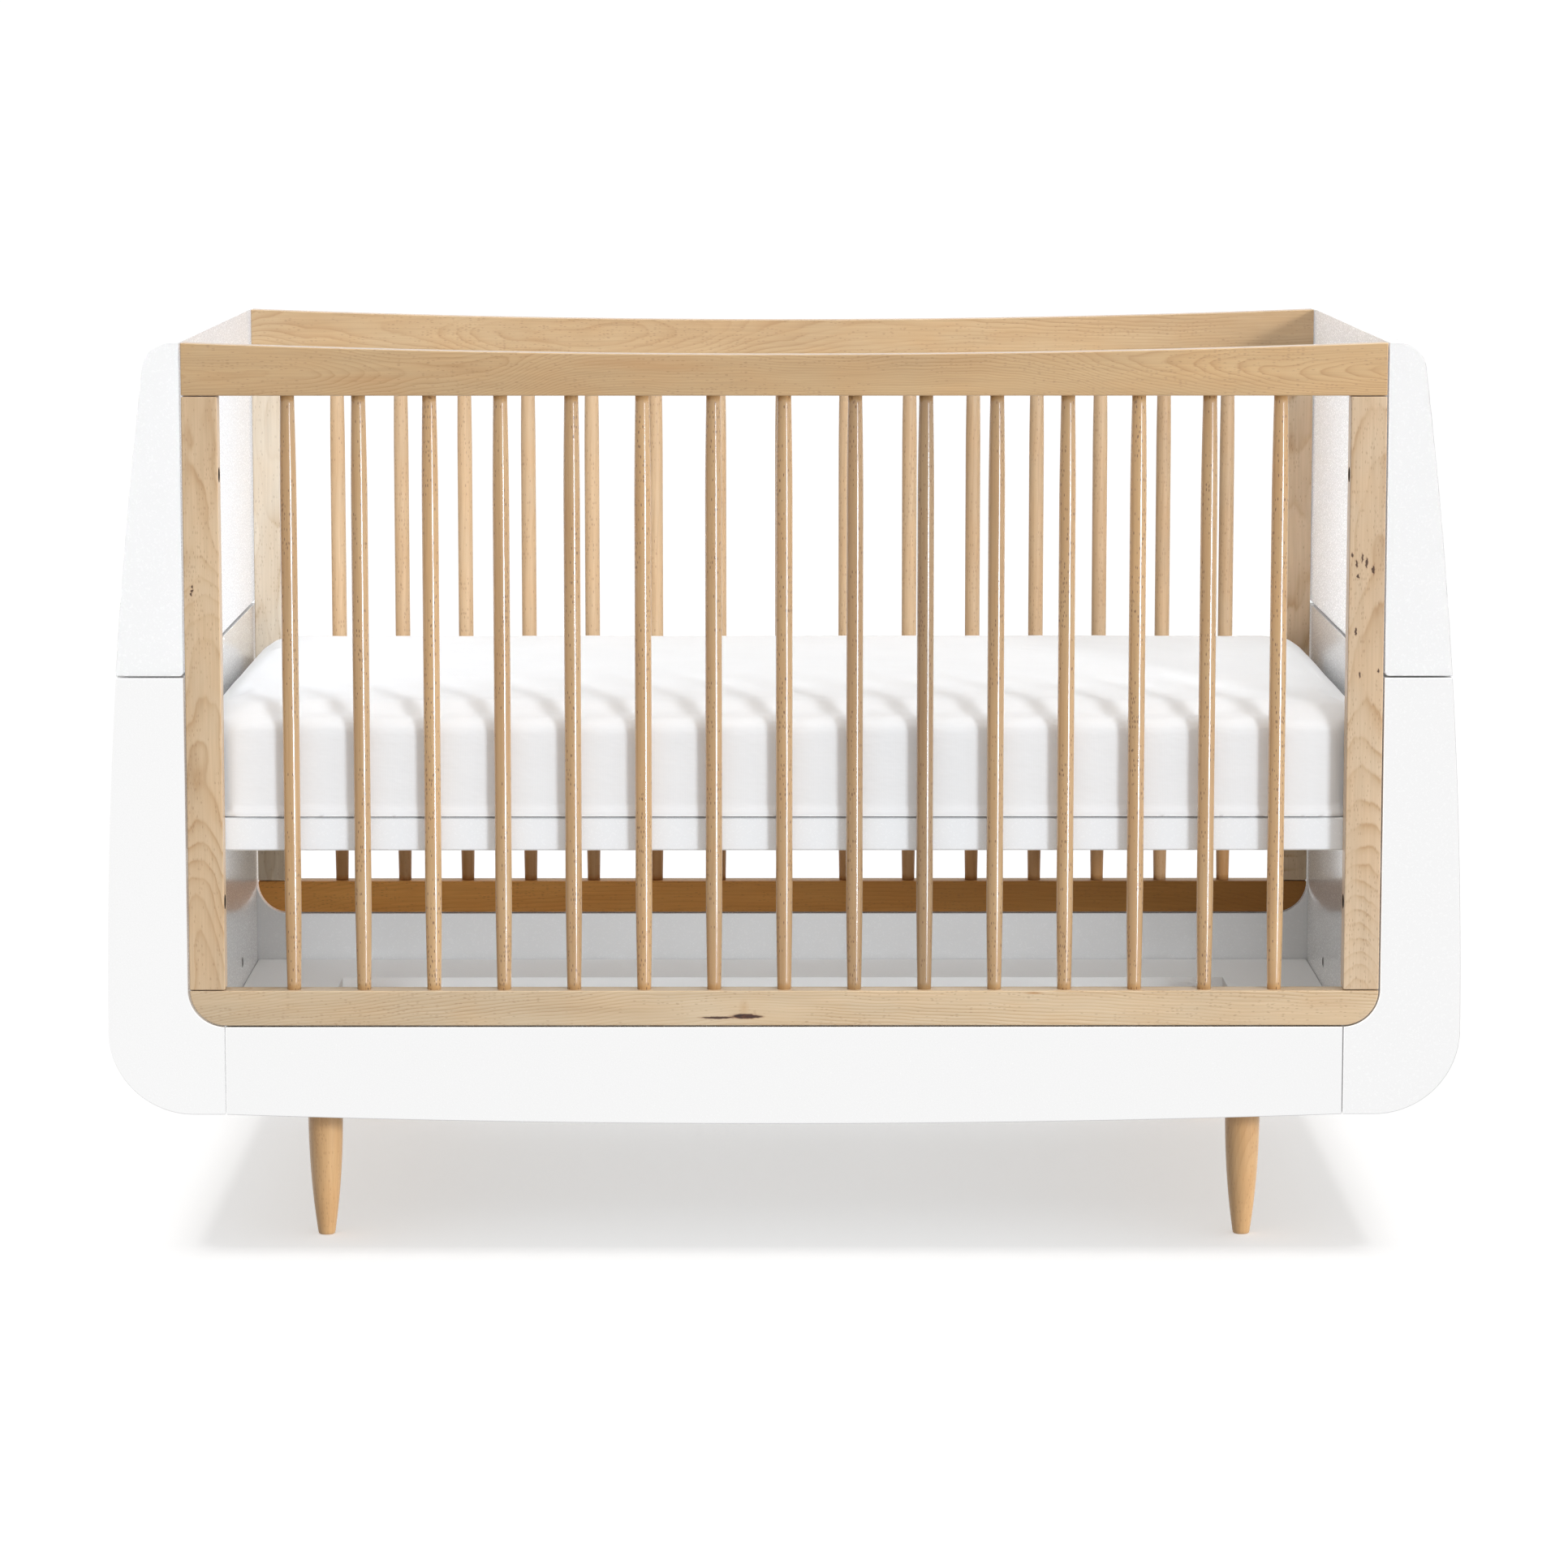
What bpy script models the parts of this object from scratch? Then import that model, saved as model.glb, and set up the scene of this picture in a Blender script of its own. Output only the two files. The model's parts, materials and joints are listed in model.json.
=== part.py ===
"""Convertible cot bed: slatted beech sides between hollow curved ends, on four turned legs.

World frame: metres, +X along the length, +Y towards the rear, +Z up.
The origin is on the floor, at the middle of the footprint.
"""

import math

import bmesh
import bpy
from mathutils import Matrix, Vector

# Overall size
HALF_LENGTH = 0.670
HALF_DEPTH = 0.370
HEIGHT = 0.900
BOARD = 0.025

# Fits between neighbouring pieces
GLUE_GAP = 0.0003
SEAM = 0.001
SPLIT_SEAM = 0.0012

# Ends: a shallow outward bow with a large bottom corner and a small top corner
END_INNER_X = 0.590
END_WALL = 0.016
BOW_RADIUS = 5.217
BOW_WIDEST_Z = 0.200
FOOT_RADIUS = 0.084
FOOT_CENTRE_Z = 0.219
SHOULDER_RADIUS = 0.029
SHOULDER_Z = 0.871
SPLIT_Z = 0.5716
SPLIT_CORNER = 0.003
UPPER_HOLLOW_TOP = 0.845

# Sides: top rail over two stiles, bottom rail, fifteen turned spindles
SIDE_HALF_LENGTH = END_INNER_X - SEAM
SIDE_BOTTOM = 0.224
SIDE_CORNER = 0.036
TOP_RAIL_BOTTOM = 0.848
TOP_RAIL_SAG = 0.0115
BOTTOM_RAIL_TOP = 0.2595
STILE_WIDTH = 0.0357
SPINDLES = 15
FRONT_PITCH = 0.0694
REAR_PITCH = 0.0707
SPINDLE_RADIUS = 0.0082
SPINDLE_END_RADIUS = 0.0069
SPINDLE_TAPER = 0.100
TENON_RADIUS = 0.0055
TENON_LENGTH = 0.012
SOCKET_RADIUS = 0.0060
SOCKET_DEPTH = 0.0130
STILE_BOLT_HEIGHTS = (0.347, 0.770)
BOLT_HOLE_RADIUS = 0.0075
BOLT_HOLE_DEPTH = 0.014

# Aprons
APRON_HALF_LENGTH = 0.5535
APRON_TOP = SIDE_BOTTOM - SEAM
APRON_BOTTOM = 0.135
APRON_BOW = 0.0095

# Legs and the floor frame that carries them
LEG_X = 0.461
LEG_Y = 0.302
LEG_TOP_RADIUS = 0.0175
LEG_FOOT_RADIUS = 0.0083
LEG_TAPER_POWER = 2.2
LEG_RAIL_INNER_X = 0.418
LEG_RAIL_OUTER_X = 0.488
FLOOR_TOP = 0.171
FLOOR_BOARD = 0.018
LEG_RAIL_BOARD = 0.0182
FLOOR_OPENING_X = 0.485
FLOOR_OPENING_Y = 0.223

# Mattress platform and mattress
PLATFORM_HALF_LENGTH = 0.5885
PLATFORM_HALF_DEPTH = 0.343
PLATFORM_BOTTOM = 0.396
PLATFORM_TOP = 0.429
PLATFORM_RAIL = 0.024
DECK_BOARD = 0.018
DECK_SLOTS = 13
DECK_SLOT_PITCH = 0.086
DECK_SLOT_WIDTH = 0.028
DECK_SLOT_HALF_DEPTH = 0.275
MATTRESS_HALF_LENGTH = 0.585
MATTRESS_HALF_DEPTH = 0.340
MATTRESS_TOP = 0.538
MATTRESS_CORNER = 0.045
MATTRESS_EDGE = 0.018

# Fineness of the curved stretches
EDGE_ROUND = 0.0015
BOW_STEPS = 8
CORNER_STEPS = 7
RAIL_STEPS = 12
SPINDLE_SIDES = 12
LEG_SIDES = 16
LEG_RINGS = 7
WELD = 0.00001


def clear_scene():
    for item in list(bpy.data.objects):
        bpy.data.objects.remove(item, do_unlink=True)


def make_collection(name):
    group = bpy.data.collections.new(name)
    bpy.context.scene.collection.children.link(group)
    return group


def make_material(name, colour, roughness, metallic=0.0):
    finish = bpy.data.materials.new(name)
    finish.use_nodes = True
    shader = finish.node_tree.nodes["Principled BSDF"]
    shader.inputs["Base Color"].default_value = (*colour, 1.0)
    shader.inputs["Roughness"].default_value = roughness
    shader.inputs["Metallic"].default_value = metallic
    return finish


clear_scene()
CRIB = make_collection("baby_crib")
CUTTERS = make_collection("cutters")
BEECH = make_material("beech", (0.62, 0.42, 0.23), 0.42)
LACQUER = make_material("white_lacquer", (0.86, 0.86, 0.86), 0.28)
BOARD_WHITE = make_material("board_white", (0.80, 0.80, 0.80), 0.45)
COTTON = make_material("cotton", (0.88, 0.88, 0.87), 0.90)


def move_to(item, group):
    for owner in list(item.users_collection):
        owner.objects.unlink(item)
    group.objects.link(item)


def finish_piece(item, name, finish):
    item.name = name
    item.data.materials.clear()
    item.data.materials.append(finish)
    move_to(item, CRIB)
    return item


def make_cutter(item, name):
    item.name = name
    item.hide_render = True
    item.display_type = "WIRE"
    move_to(item, CUTTERS)
    return item


def round_edges(item, width=EDGE_ROUND, segments=1):
    bevel = item.modifiers.new("round", "BEVEL")
    bevel.width = width
    bevel.segments = segments
    bevel.limit_method = "ANGLE"
    bevel.angle_limit = math.radians(40)


def cut(item, cutter):
    boolean = item.modifiers.new("cut", "BOOLEAN")
    boolean.operation = "DIFFERENCE"
    boolean.object = cutter


def block(low, high):
    size = Vector(high) - Vector(low)
    centre = (Vector(high) + Vector(low)) / 2
    bpy.ops.mesh.primitive_cube_add(size=1.0, location=centre)
    item = bpy.context.object
    item.data.transform(Matrix.Diagonal((*size, 1.0)))
    return item


def board(name, low, high, finish):
    item = finish_piece(block(low, high), name, finish)
    round_edges(item)
    return item


def slab(outline, y_low, y_high):
    """A flat board whose outline lies in the XZ plane, between two Y values."""
    curve = bpy.data.curves.new("outline", "CURVE")
    curve.dimensions = "2D"
    curve.fill_mode = "BOTH"
    curve.extrude = (y_high - y_low) / 2
    spline = curve.splines.new("POLY")
    spline.points.add(len(outline) - 1)
    spline.use_cyclic_u = True
    for point, (x, z) in zip(spline.points, outline):
        point.co = (x, z, 0.0, 1.0)
    flat = bpy.data.objects.new("outline", curve)
    bpy.context.scene.collection.objects.link(flat)
    flat.rotation_euler = (math.pi / 2, 0.0, 0.0)
    flat.location = (0.0, (y_low + y_high) / 2, 0.0)
    bpy.context.view_layer.update()
    mesh = bpy.data.meshes.new_from_object(flat.evaluated_get(bpy.context.evaluated_depsgraph_get()))
    solid = bpy.data.objects.new("slab", mesh)
    solid.matrix_world = flat.matrix_world.copy()
    bpy.context.scene.collection.objects.link(solid)
    bpy.data.objects.remove(flat, do_unlink=True)
    weld_mesh(mesh)
    return solid


def weld_mesh(mesh):
    shape = bmesh.new()
    shape.from_mesh(mesh)
    bmesh.ops.remove_doubles(shape, verts=shape.verts, dist=WELD)
    bmesh.ops.recalc_face_normals(shape, faces=shape.faces)
    shape.to_mesh(mesh)
    shape.free()


def turned(name, profile, place, sides, finish):
    """A round piece from (radius, height) pairs, listed from the top down, about its own Z axis."""
    mesh = bpy.data.meshes.new(name)
    points = [(0.0, 0.0, profile[0][1])]
    points += [(radius, 0.0, height) for radius, height in profile]
    points.append((0.0, 0.0, profile[-1][1]))
    mesh.from_pydata(points, [(i, i + 1) for i in range(len(points) - 1)], [])
    item = bpy.data.objects.new(name, mesh)
    bpy.context.scene.collection.objects.link(item)
    item.location = place
    screw = item.modifiers.new("turn", "SCREW")
    screw.axis = "Z"
    screw.steps = sides
    screw.render_steps = sides
    screw.use_merge_vertices = True
    screw.merge_threshold = WELD
    screw.use_smooth_shade = True
    return finish_piece(item, name, finish)


def arc(centre, radius, start, end, steps):
    """Points along a circle, angles in degrees from +X."""
    points = []
    for step in range(steps + 1):
        angle = math.radians(start + (end - start) * step / steps)
        points.append((centre[0] + radius * math.cos(angle), centre[1] + radius * math.sin(angle)))
    return points


def mirrored(outline, hand):
    return [(hand * x, z) for x, z in outline]


def bow_x(z, inset=0.0):
    """How far out the bowed outer face of an end stands at a height."""
    centre = HALF_LENGTH - BOW_RADIUS
    return centre + math.sqrt((BOW_RADIUS - inset) ** 2 - (z - BOW_WIDEST_Z) ** 2)


def bow(z_start, z_end, inset=0.0):
    points = []
    for step in range(BOW_STEPS + 1):
        z = z_start + (z_end - z_start) * step / BOW_STEPS
        points.append((bow_x(z, inset), z))
    return points


def foot_corner(inset, x_end):
    """The big bottom corner of an end, from its outer face round to x_end."""
    centre = (HALF_LENGTH - FOOT_RADIUS, FOOT_CENTRE_Z)
    radius = FOOT_RADIUS - inset
    last = math.degrees(math.acos((x_end - centre[0]) / radius))
    return arc(centre, radius, 0.0, -last, CORNER_STEPS)[1:]


def lower_profile(inset, inner_x):
    """The outer edge of a lower end, from the split line round to the underside at inner_x."""
    return bow(SPLIT_Z - SPLIT_SEAM / 2 - inset, FOOT_CENTRE_Z, inset) + foot_corner(inset, inner_x)


def upper_profile():
    """The outer edge of an upper end, from the flat top down to the split line."""
    shoulder_x = bow_x(SHOULDER_Z) - SHOULDER_RADIUS
    shoulder = arc((shoulder_x, SHOULDER_Z), SHOULDER_RADIUS, 90.0, 0.0, CORNER_STEPS)
    return shoulder + bow(SHOULDER_Z, SPLIT_Z + SPLIT_SEAM / 2)[1:]


def cheek_outline():
    """A lower cheek: an L whose foot runs under the rounded corner of the side."""
    foot_x = APRON_HALF_LENGTH + SEAM
    corner = (SIDE_HALF_LENGTH - SIDE_CORNER, SIDE_BOTTOM + SIDE_CORNER)
    clearance = SIDE_CORNER + SEAM
    first = -math.degrees(math.acos((foot_x - corner[0]) / clearance))
    outline = [(END_INNER_X, SPLIT_Z - SPLIT_SEAM / 2)]
    outline += lower_profile(0.0, HALF_LENGTH - FOOT_RADIUS)
    outline.append((foot_x, APRON_BOTTOM))
    return outline + arc(corner, clearance, first, 0.0, CORNER_STEPS)


def lower_end(label, hand):
    outline = mirrored(cheek_outline(), hand)
    for place, y_outer in (("front", -HALF_DEPTH), ("rear", HALF_DEPTH)):
        y_inner = math.copysign(HALF_DEPTH - BOARD, y_outer)
        cheek = slab(outline, min(y_outer, y_inner), max(y_outer, y_inner))
        finish_piece(cheek, f"{label}_lower_{place}_cheek", LACQUER)
        round_edges(cheek)
    shell_half_depth = HALF_DEPTH - BOARD - GLUE_GAP
    outer = [(END_INNER_X, SPLIT_Z - SPLIT_SEAM / 2)] + lower_profile(0.0, END_INNER_X)
    shell = finish_piece(
        slab(mirrored(outer, hand), -shell_half_depth, shell_half_depth),
        f"{label}_lower_shell", LACQUER)
    hollow_inner_x = END_INNER_X + END_WALL
    hollow = [(hollow_inner_x, SPLIT_Z - SPLIT_SEAM / 2 - END_WALL)]
    hollow += lower_profile(END_WALL, hollow_inner_x)
    cut(shell, make_cutter(
        slab(mirrored(hollow, hand), -HALF_DEPTH, HALF_DEPTH), f"{label}_lower_hollow"))


def upper_end(label, hand):
    corner = (END_INNER_X + SPLIT_CORNER, SPLIT_Z + SPLIT_SEAM / 2 + SPLIT_CORNER)
    outline = arc(corner, SPLIT_CORNER, 270.0, 180.0, 3)
    outline.append((END_INNER_X, HEIGHT))
    outline += upper_profile()
    casing = finish_piece(
        slab(mirrored(outline, hand), -HALF_DEPTH, HALF_DEPTH), f"{label}_upper_casing", LACQUER)
    round_edges(casing)
    hollow_inner_x = END_INNER_X + END_WALL
    hollow = [(hollow_inner_x, SPLIT_Z - END_WALL), (hollow_inner_x, UPPER_HOLLOW_TOP)]
    hollow += bow(UPPER_HOLLOW_TOP, SPLIT_Z - END_WALL, END_WALL)
    inner_depth = HALF_DEPTH - BOARD
    cut(casing, make_cutter(
        slab(mirrored(hollow, hand), -inner_depth, inner_depth), f"{label}_upper_hollow"))


def sagging_edge(half_length, z_end, z_middle):
    """A shallow curved edge along X, from -half_length to +half_length."""
    points = []
    for step in range(RAIL_STEPS + 1):
        x = half_length * (2 * step / RAIL_STEPS - 1)
        points.append((x, z_middle + (z_end - z_middle) * (x / half_length) ** 2))
    return points


def stile(name, hand, y_low, y_high):
    x_outer = hand * SIDE_HALF_LENGTH
    x_inner = hand * (SIDE_HALF_LENGTH - STILE_WIDTH)
    item = board(
        name,
        (min(x_outer, x_inner), y_low, BOTTOM_RAIL_TOP + GLUE_GAP),
        (max(x_outer, x_inner), y_high, TOP_RAIL_BOTTOM - GLUE_GAP), BEECH)
    for number, height in enumerate(STILE_BOLT_HEIGHTS):
        bpy.ops.mesh.primitive_cylinder_add(
            vertices=SPINDLE_SIDES, radius=BOLT_HOLE_RADIUS, depth=2 * BOLT_HOLE_DEPTH,
            location=(x_inner, (y_low + y_high) / 2, height), rotation=(0.0, math.pi / 2, 0.0))
        cut(item, make_cutter(bpy.context.object, f"{name}_bolt_hole_{number}"))


def spindle(name, x, y):
    bottom = BOTTOM_RAIL_TOP + GLUE_GAP
    top = TOP_RAIL_BOTTOM - GLUE_GAP
    profile = [
        (TENON_RADIUS, top + TENON_LENGTH),
        (TENON_RADIUS, top),
        (SPINDLE_END_RADIUS, top),
        (SPINDLE_RADIUS, top - SPINDLE_TAPER),
        (SPINDLE_RADIUS, bottom + SPINDLE_TAPER),
        (SPINDLE_END_RADIUS, bottom),
        (TENON_RADIUS, bottom),
        (TENON_RADIUS, bottom - TENON_LENGTH),
    ]
    turned(name, profile, (x, y, 0.0), SPINDLE_SIDES, BEECH)


def socket_row(name, places, surface):
    """Blind holes for the spindle tenons, either side of a rail's surface, as one cutter."""
    sockets = bmesh.new()
    for x, y in places:
        bmesh.ops.create_cone(
            sockets, cap_ends=True, segments=SPINDLE_SIDES, radius1=SOCKET_RADIUS,
            radius2=SOCKET_RADIUS, depth=2 * SOCKET_DEPTH, matrix=Matrix.Translation((x, y, surface)))
    mesh = bpy.data.meshes.new(name)
    sockets.to_mesh(mesh)
    sockets.free()
    return make_cutter(bpy.data.objects.new(name, mesh), name)


def side(label, facing, pitch):
    y_outer = facing * HALF_DEPTH
    y_inner = facing * (HALF_DEPTH - BOARD)
    y_low = min(y_outer, y_inner)
    y_high = max(y_outer, y_inner)
    top = [(SIDE_HALF_LENGTH, TOP_RAIL_BOTTOM), (-SIDE_HALF_LENGTH, TOP_RAIL_BOTTOM)]
    top += sagging_edge(SIDE_HALF_LENGTH, HEIGHT - SEAM / 2, HEIGHT - SEAM / 2 - TOP_RAIL_SAG)
    top_rail = finish_piece(slab(top, y_low, y_high), f"{label}_top_rail", BEECH)
    round_edges(top_rail)
    corner_x = SIDE_HALF_LENGTH - SIDE_CORNER
    corner_z = SIDE_BOTTOM + SIDE_CORNER
    end_angle = -math.degrees(math.asin((corner_z - BOTTOM_RAIL_TOP) / SIDE_CORNER))
    right = arc((corner_x, corner_z), SIDE_CORNER, -90.0, end_angle, CORNER_STEPS)
    outline = right + [(-x, z) for x, z in reversed(right)]
    bottom_rail = finish_piece(slab(outline, y_low, y_high), f"{label}_bottom_rail", BEECH)
    round_edges(bottom_rail)
    stile(f"{label}_left_stile", -1, y_low, y_high)
    stile(f"{label}_right_stile", 1, y_low, y_high)
    places = [((number - (SPINDLES - 1) / 2) * pitch, (y_low + y_high) / 2) for number in range(SPINDLES)]
    cut(top_rail, socket_row(f"{label}_top_sockets", places, TOP_RAIL_BOTTOM))
    cut(bottom_rail, socket_row(f"{label}_bottom_sockets", places, BOTTOM_RAIL_TOP))
    for number, (x, y) in enumerate(places):
        spindle(f"{label}_spindle_{number + 1:02d}", x, y)


def apron(name, facing):
    y_outer = facing * HALF_DEPTH
    y_inner = facing * (HALF_DEPTH - BOARD)
    outline = [(APRON_HALF_LENGTH, APRON_TOP), (-APRON_HALF_LENGTH, APRON_TOP)]
    outline += sagging_edge(APRON_HALF_LENGTH, APRON_BOTTOM, APRON_BOTTOM - APRON_BOW)
    item = finish_piece(slab(outline, min(y_outer, y_inner), max(y_outer, y_inner)), name, LACQUER)
    round_edges(item)


def floor_frame():
    half_depth = HALF_DEPTH - BOARD - GLUE_GAP
    half_length = END_INNER_X - GLUE_GAP
    under = FLOOR_TOP - FLOOR_BOARD
    floor = board("floor_board", (-half_length, -half_depth, under), (half_length, half_depth, FLOOR_TOP),
                  BOARD_WHITE)
    opening = make_cutter(
        block((-FLOOR_OPENING_X, -FLOOR_OPENING_Y, under - BOARD),
              (FLOOR_OPENING_X, FLOOR_OPENING_Y, FLOOR_TOP + BOARD)), "floor_opening")
    cut(floor, opening)
    rail_top = under - GLUE_GAP
    rail_bottom = rail_top - LEG_RAIL_BOARD
    for label, hand in (("left", -1), ("right", 1)):
        edges = sorted((hand * LEG_RAIL_INNER_X, hand * LEG_RAIL_OUTER_X))
        board(f"{label}_leg_rail", (edges[0], -half_depth, rail_bottom),
              (edges[1], half_depth, rail_top), BEECH)
        for place, facing in (("front", -1), ("rear", 1)):
            leg(f"{place}_{label}_leg", hand * LEG_X, facing * LEG_Y, rail_bottom - GLUE_GAP)


def leg(name, x, y, top):
    profile = []
    for ring in range(LEG_RINGS + 1):
        fall = ring / LEG_RINGS
        radius = LEG_TOP_RADIUS - (LEG_TOP_RADIUS - LEG_FOOT_RADIUS) * fall ** LEG_TAPER_POWER
        profile.append((radius, top * (1 - fall)))
    turned(name, profile, (x, y, 0.0), LEG_SIDES, BEECH)


def platform():
    for label, facing in (("front", -1), ("rear", 1)):
        edges = sorted((facing * PLATFORM_HALF_DEPTH, facing * (PLATFORM_HALF_DEPTH - PLATFORM_RAIL)))
        board(f"platform_{label}_rail", (-PLATFORM_HALF_LENGTH, edges[0], PLATFORM_BOTTOM),
              (PLATFORM_HALF_LENGTH, edges[1], PLATFORM_TOP), LACQUER)
    half_depth = PLATFORM_HALF_DEPTH - PLATFORM_RAIL - GLUE_GAP
    under = PLATFORM_TOP - DECK_BOARD
    deck = board("platform_deck", (-PLATFORM_HALF_LENGTH, -half_depth, under),
                 (PLATFORM_HALF_LENGTH, half_depth, PLATFORM_TOP), BOARD_WHITE)
    for number in range(DECK_SLOTS):
        x = (number - (DECK_SLOTS - 1) / 2) * DECK_SLOT_PITCH
        slot = block((x - DECK_SLOT_WIDTH / 2, -DECK_SLOT_HALF_DEPTH, under - BOARD),
                     (x + DECK_SLOT_WIDTH / 2, DECK_SLOT_HALF_DEPTH, PLATFORM_TOP + BOARD))
        cut(deck, make_cutter(slot, f"deck_slot_{number + 1:02d}"))


def mattress():
    item = finish_piece(
        block((-MATTRESS_HALF_LENGTH, -MATTRESS_HALF_DEPTH, PLATFORM_TOP + SEAM),
              (MATTRESS_HALF_LENGTH, MATTRESS_HALF_DEPTH, MATTRESS_TOP)), "mattress", COTTON)
    shape = bmesh.new()
    shape.from_mesh(item.data)
    uprights = [edge for edge in shape.edges
                if abs(edge.verts[0].co.z - edge.verts[1].co.z) > MATTRESS_EDGE]
    bmesh.ops.bevel(shape, geom=uprights, offset=MATTRESS_CORNER, segments=CORNER_STEPS, affect="EDGES",
                    profile=0.5)
    shape.to_mesh(item.data)
    shape.free()
    round_edges(item, MATTRESS_EDGE, 3)


def build():
    for label, hand in (("left", -1), ("right", 1)):
        lower_end(label, hand)
        upper_end(label, hand)
    side("front", -1, FRONT_PITCH)
    side("rear", 1, REAR_PITCH)
    apron("front_apron", -1)
    apron("rear_apron", 1)
    floor_frame()
    platform()
    mattress()


build()
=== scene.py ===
import json
import math

import bmesh
import bpy
from mathutils import Matrix, Vector, noise


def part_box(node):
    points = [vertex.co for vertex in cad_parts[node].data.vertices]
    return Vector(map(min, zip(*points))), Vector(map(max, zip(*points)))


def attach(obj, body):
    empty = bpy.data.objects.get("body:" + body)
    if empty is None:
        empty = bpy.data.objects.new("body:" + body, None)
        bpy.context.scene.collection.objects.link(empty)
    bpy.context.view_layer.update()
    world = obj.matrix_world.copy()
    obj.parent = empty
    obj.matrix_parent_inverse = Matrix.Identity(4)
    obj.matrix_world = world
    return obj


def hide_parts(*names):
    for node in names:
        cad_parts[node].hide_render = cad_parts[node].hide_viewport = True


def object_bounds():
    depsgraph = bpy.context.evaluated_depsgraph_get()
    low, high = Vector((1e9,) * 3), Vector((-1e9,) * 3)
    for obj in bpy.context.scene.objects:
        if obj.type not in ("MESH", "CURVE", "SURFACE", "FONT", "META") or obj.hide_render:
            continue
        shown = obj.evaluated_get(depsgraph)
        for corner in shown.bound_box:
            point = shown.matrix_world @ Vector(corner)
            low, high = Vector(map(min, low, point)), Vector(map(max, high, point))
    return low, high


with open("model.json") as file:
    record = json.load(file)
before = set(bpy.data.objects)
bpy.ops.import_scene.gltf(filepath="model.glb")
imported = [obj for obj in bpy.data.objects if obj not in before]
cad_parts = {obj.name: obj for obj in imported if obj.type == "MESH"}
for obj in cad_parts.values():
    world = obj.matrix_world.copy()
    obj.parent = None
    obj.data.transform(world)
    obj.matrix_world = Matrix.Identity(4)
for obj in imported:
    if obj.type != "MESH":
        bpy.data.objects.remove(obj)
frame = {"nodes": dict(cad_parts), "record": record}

CAD_LOW, CAD_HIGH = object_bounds()
FRONT_FACE = CAD_LOW.y
HALF_LENGTH = CAD_HIGH.x
TOP = CAD_HIGH.z

# The end's curves, as the CAD has them: a shallow bow, a big foot corner, a small shoulder
BOW_RADIUS = 5.217
BOW_WIDEST_Z = 0.200
FOOT_RADIUS = 0.084
FOOT_CENTRE_Z = 0.219
SHOULDER_RADIUS = 0.029
SHOULDER_Z = 0.871
SPLIT_CORNER = 0.004
END_INNER_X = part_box("right_upper_casing")[0].x
SPLIT_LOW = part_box("right_lower_front_cheek")[1].z
SPLIT_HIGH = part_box("right_upper_casing")[0].z
SIDE_CORNER = 0.036
SEAM = 0.001

# Steps along the curves
BOW_STEPS = 40
CORNER_STEPS = 28
SHOULDER_STEPS = 16
SPLIT_STEPS = 8
RAIL_STEPS = 60

# Rails and aprons: how far the hollowed and bowed edges dip; the shadow gap between neighbours
TOP_RAIL_SAG = 0.0115
APRON_BOW = 0.0095
SHADOW_GAP = 0.0006

# Spindles: neck size as a share of the full radius, and how far the neck reaches
SPINDLE_SIDES = 40
SPINDLE_END = 0.84
SPINDLE_TAPER = 0.105
SPINDLE_STEPS = 14
SPINDLE_EASE = 1.6

# Legs
LEG_SIDES = 56
LEG_RINGS = 40
LEG_TAPER_POWER = 2.2
LEG_FOOT_RADIUS = 0.0083
LEG_FOOT_CHAMFER = 0.0008

# Bolts in the stiles' inner edges, and threaded inserts for the platform in the ends
BOLT_HOLE_RADIUS = 0.0074
BOLT_HOLE_DEPTH = 0.012
BOLT_HOLE_SIDES = 40
BOLT_HEIGHTS = (0.347, 0.770)
BOLT_SEAT = 0.0065
BOLT_SIDES = 36
BOLT_HEAD_RADIUS = 0.0062
BOLT_HEAD_DEPTH = 0.005
BOLT_HEAD_ROUNDING = 0.0006
SOCKET_RADIUS = 0.0030
SOCKET_DEPTH = 0.003
INSERT_HEIGHT = 0.197
INSERT_SPREAD = 0.171
INSERT_SIDES = 32

# Mattress: its block, its corners in plan and round its top
MATTRESS_VOXEL = 0.009
MATTRESS_CORNER = 0.045
MATTRESS_CORNER_STEPS = 10
MATTRESS_EDGE = 0.013
MATTRESS_INSET = 0.0015
MATTRESS_DROP = 0.004
OVERHANG = 0.0030

# The cover's simulation, and how far it may stray from the foam
PINNED_HEIGHT = 0.006
CLOTH_STEPS = 20
SIDE_CAP = 0.0012
TOP_CAP = 0.0060

# The mattress's squared foot, its crowned top and its corner folds
FOOT_BAND = 0.007
FOOT_DEPTH = 0.012
FOOT_PRESS = 0.003
FOOT_INSET = 0.0012
FOOT_OVERHANG = 0.0036
CROWN_RISE = 0.005
CROWN_FROM = 0.75
CROWN_NOISE = 0.0009
FOLD_REACH = 0.16
FOLD_DEPTH = 0.0006
FOLD_TOP = 0.92

# Soft edges
WOOD_EDGE = 0.0012
LACQUER_EDGE = 0.0009
SHELL_EDGE = 0.0004
LEG_EDGE = 0.0005
EDGE_SEGMENTS = 3

# Studio: floor, camera and lamp tints
FLOOR_GLOW = 0.355
FLOOR_REACH = 60.0
CAMERA_LENS = 122.3
CAMERA_PLACE = (-0.0144, -5.5673, 1.1676)
CAMERA_TILT = 82.313
CAMERA_TURN = -0.156
COOL = (0.88, 1.0, 1.18)
MILD = (0.95, 1.0, 1.06)
PURE = (1.0, 1.0, 1.0)


# ------------------------ node helpers

def wire(tree, made, inputs):
    """Links a node's sockets to other sockets, or sets them to numbers and colours."""
    for socket, value in inputs.items():
        if isinstance(value, bpy.types.NodeSocket):
            tree.links.new(value, made.inputs[socket])
        else:
            made.inputs[socket].default_value = value


def node(tree, kind, inputs=None, **settings):
    """A new shader node with its settings and its inputs."""
    made = tree.nodes.new(kind)
    for key, value in settings.items():
        setattr(made, key, value)
    wire(tree, made, inputs or {})
    return made


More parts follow.
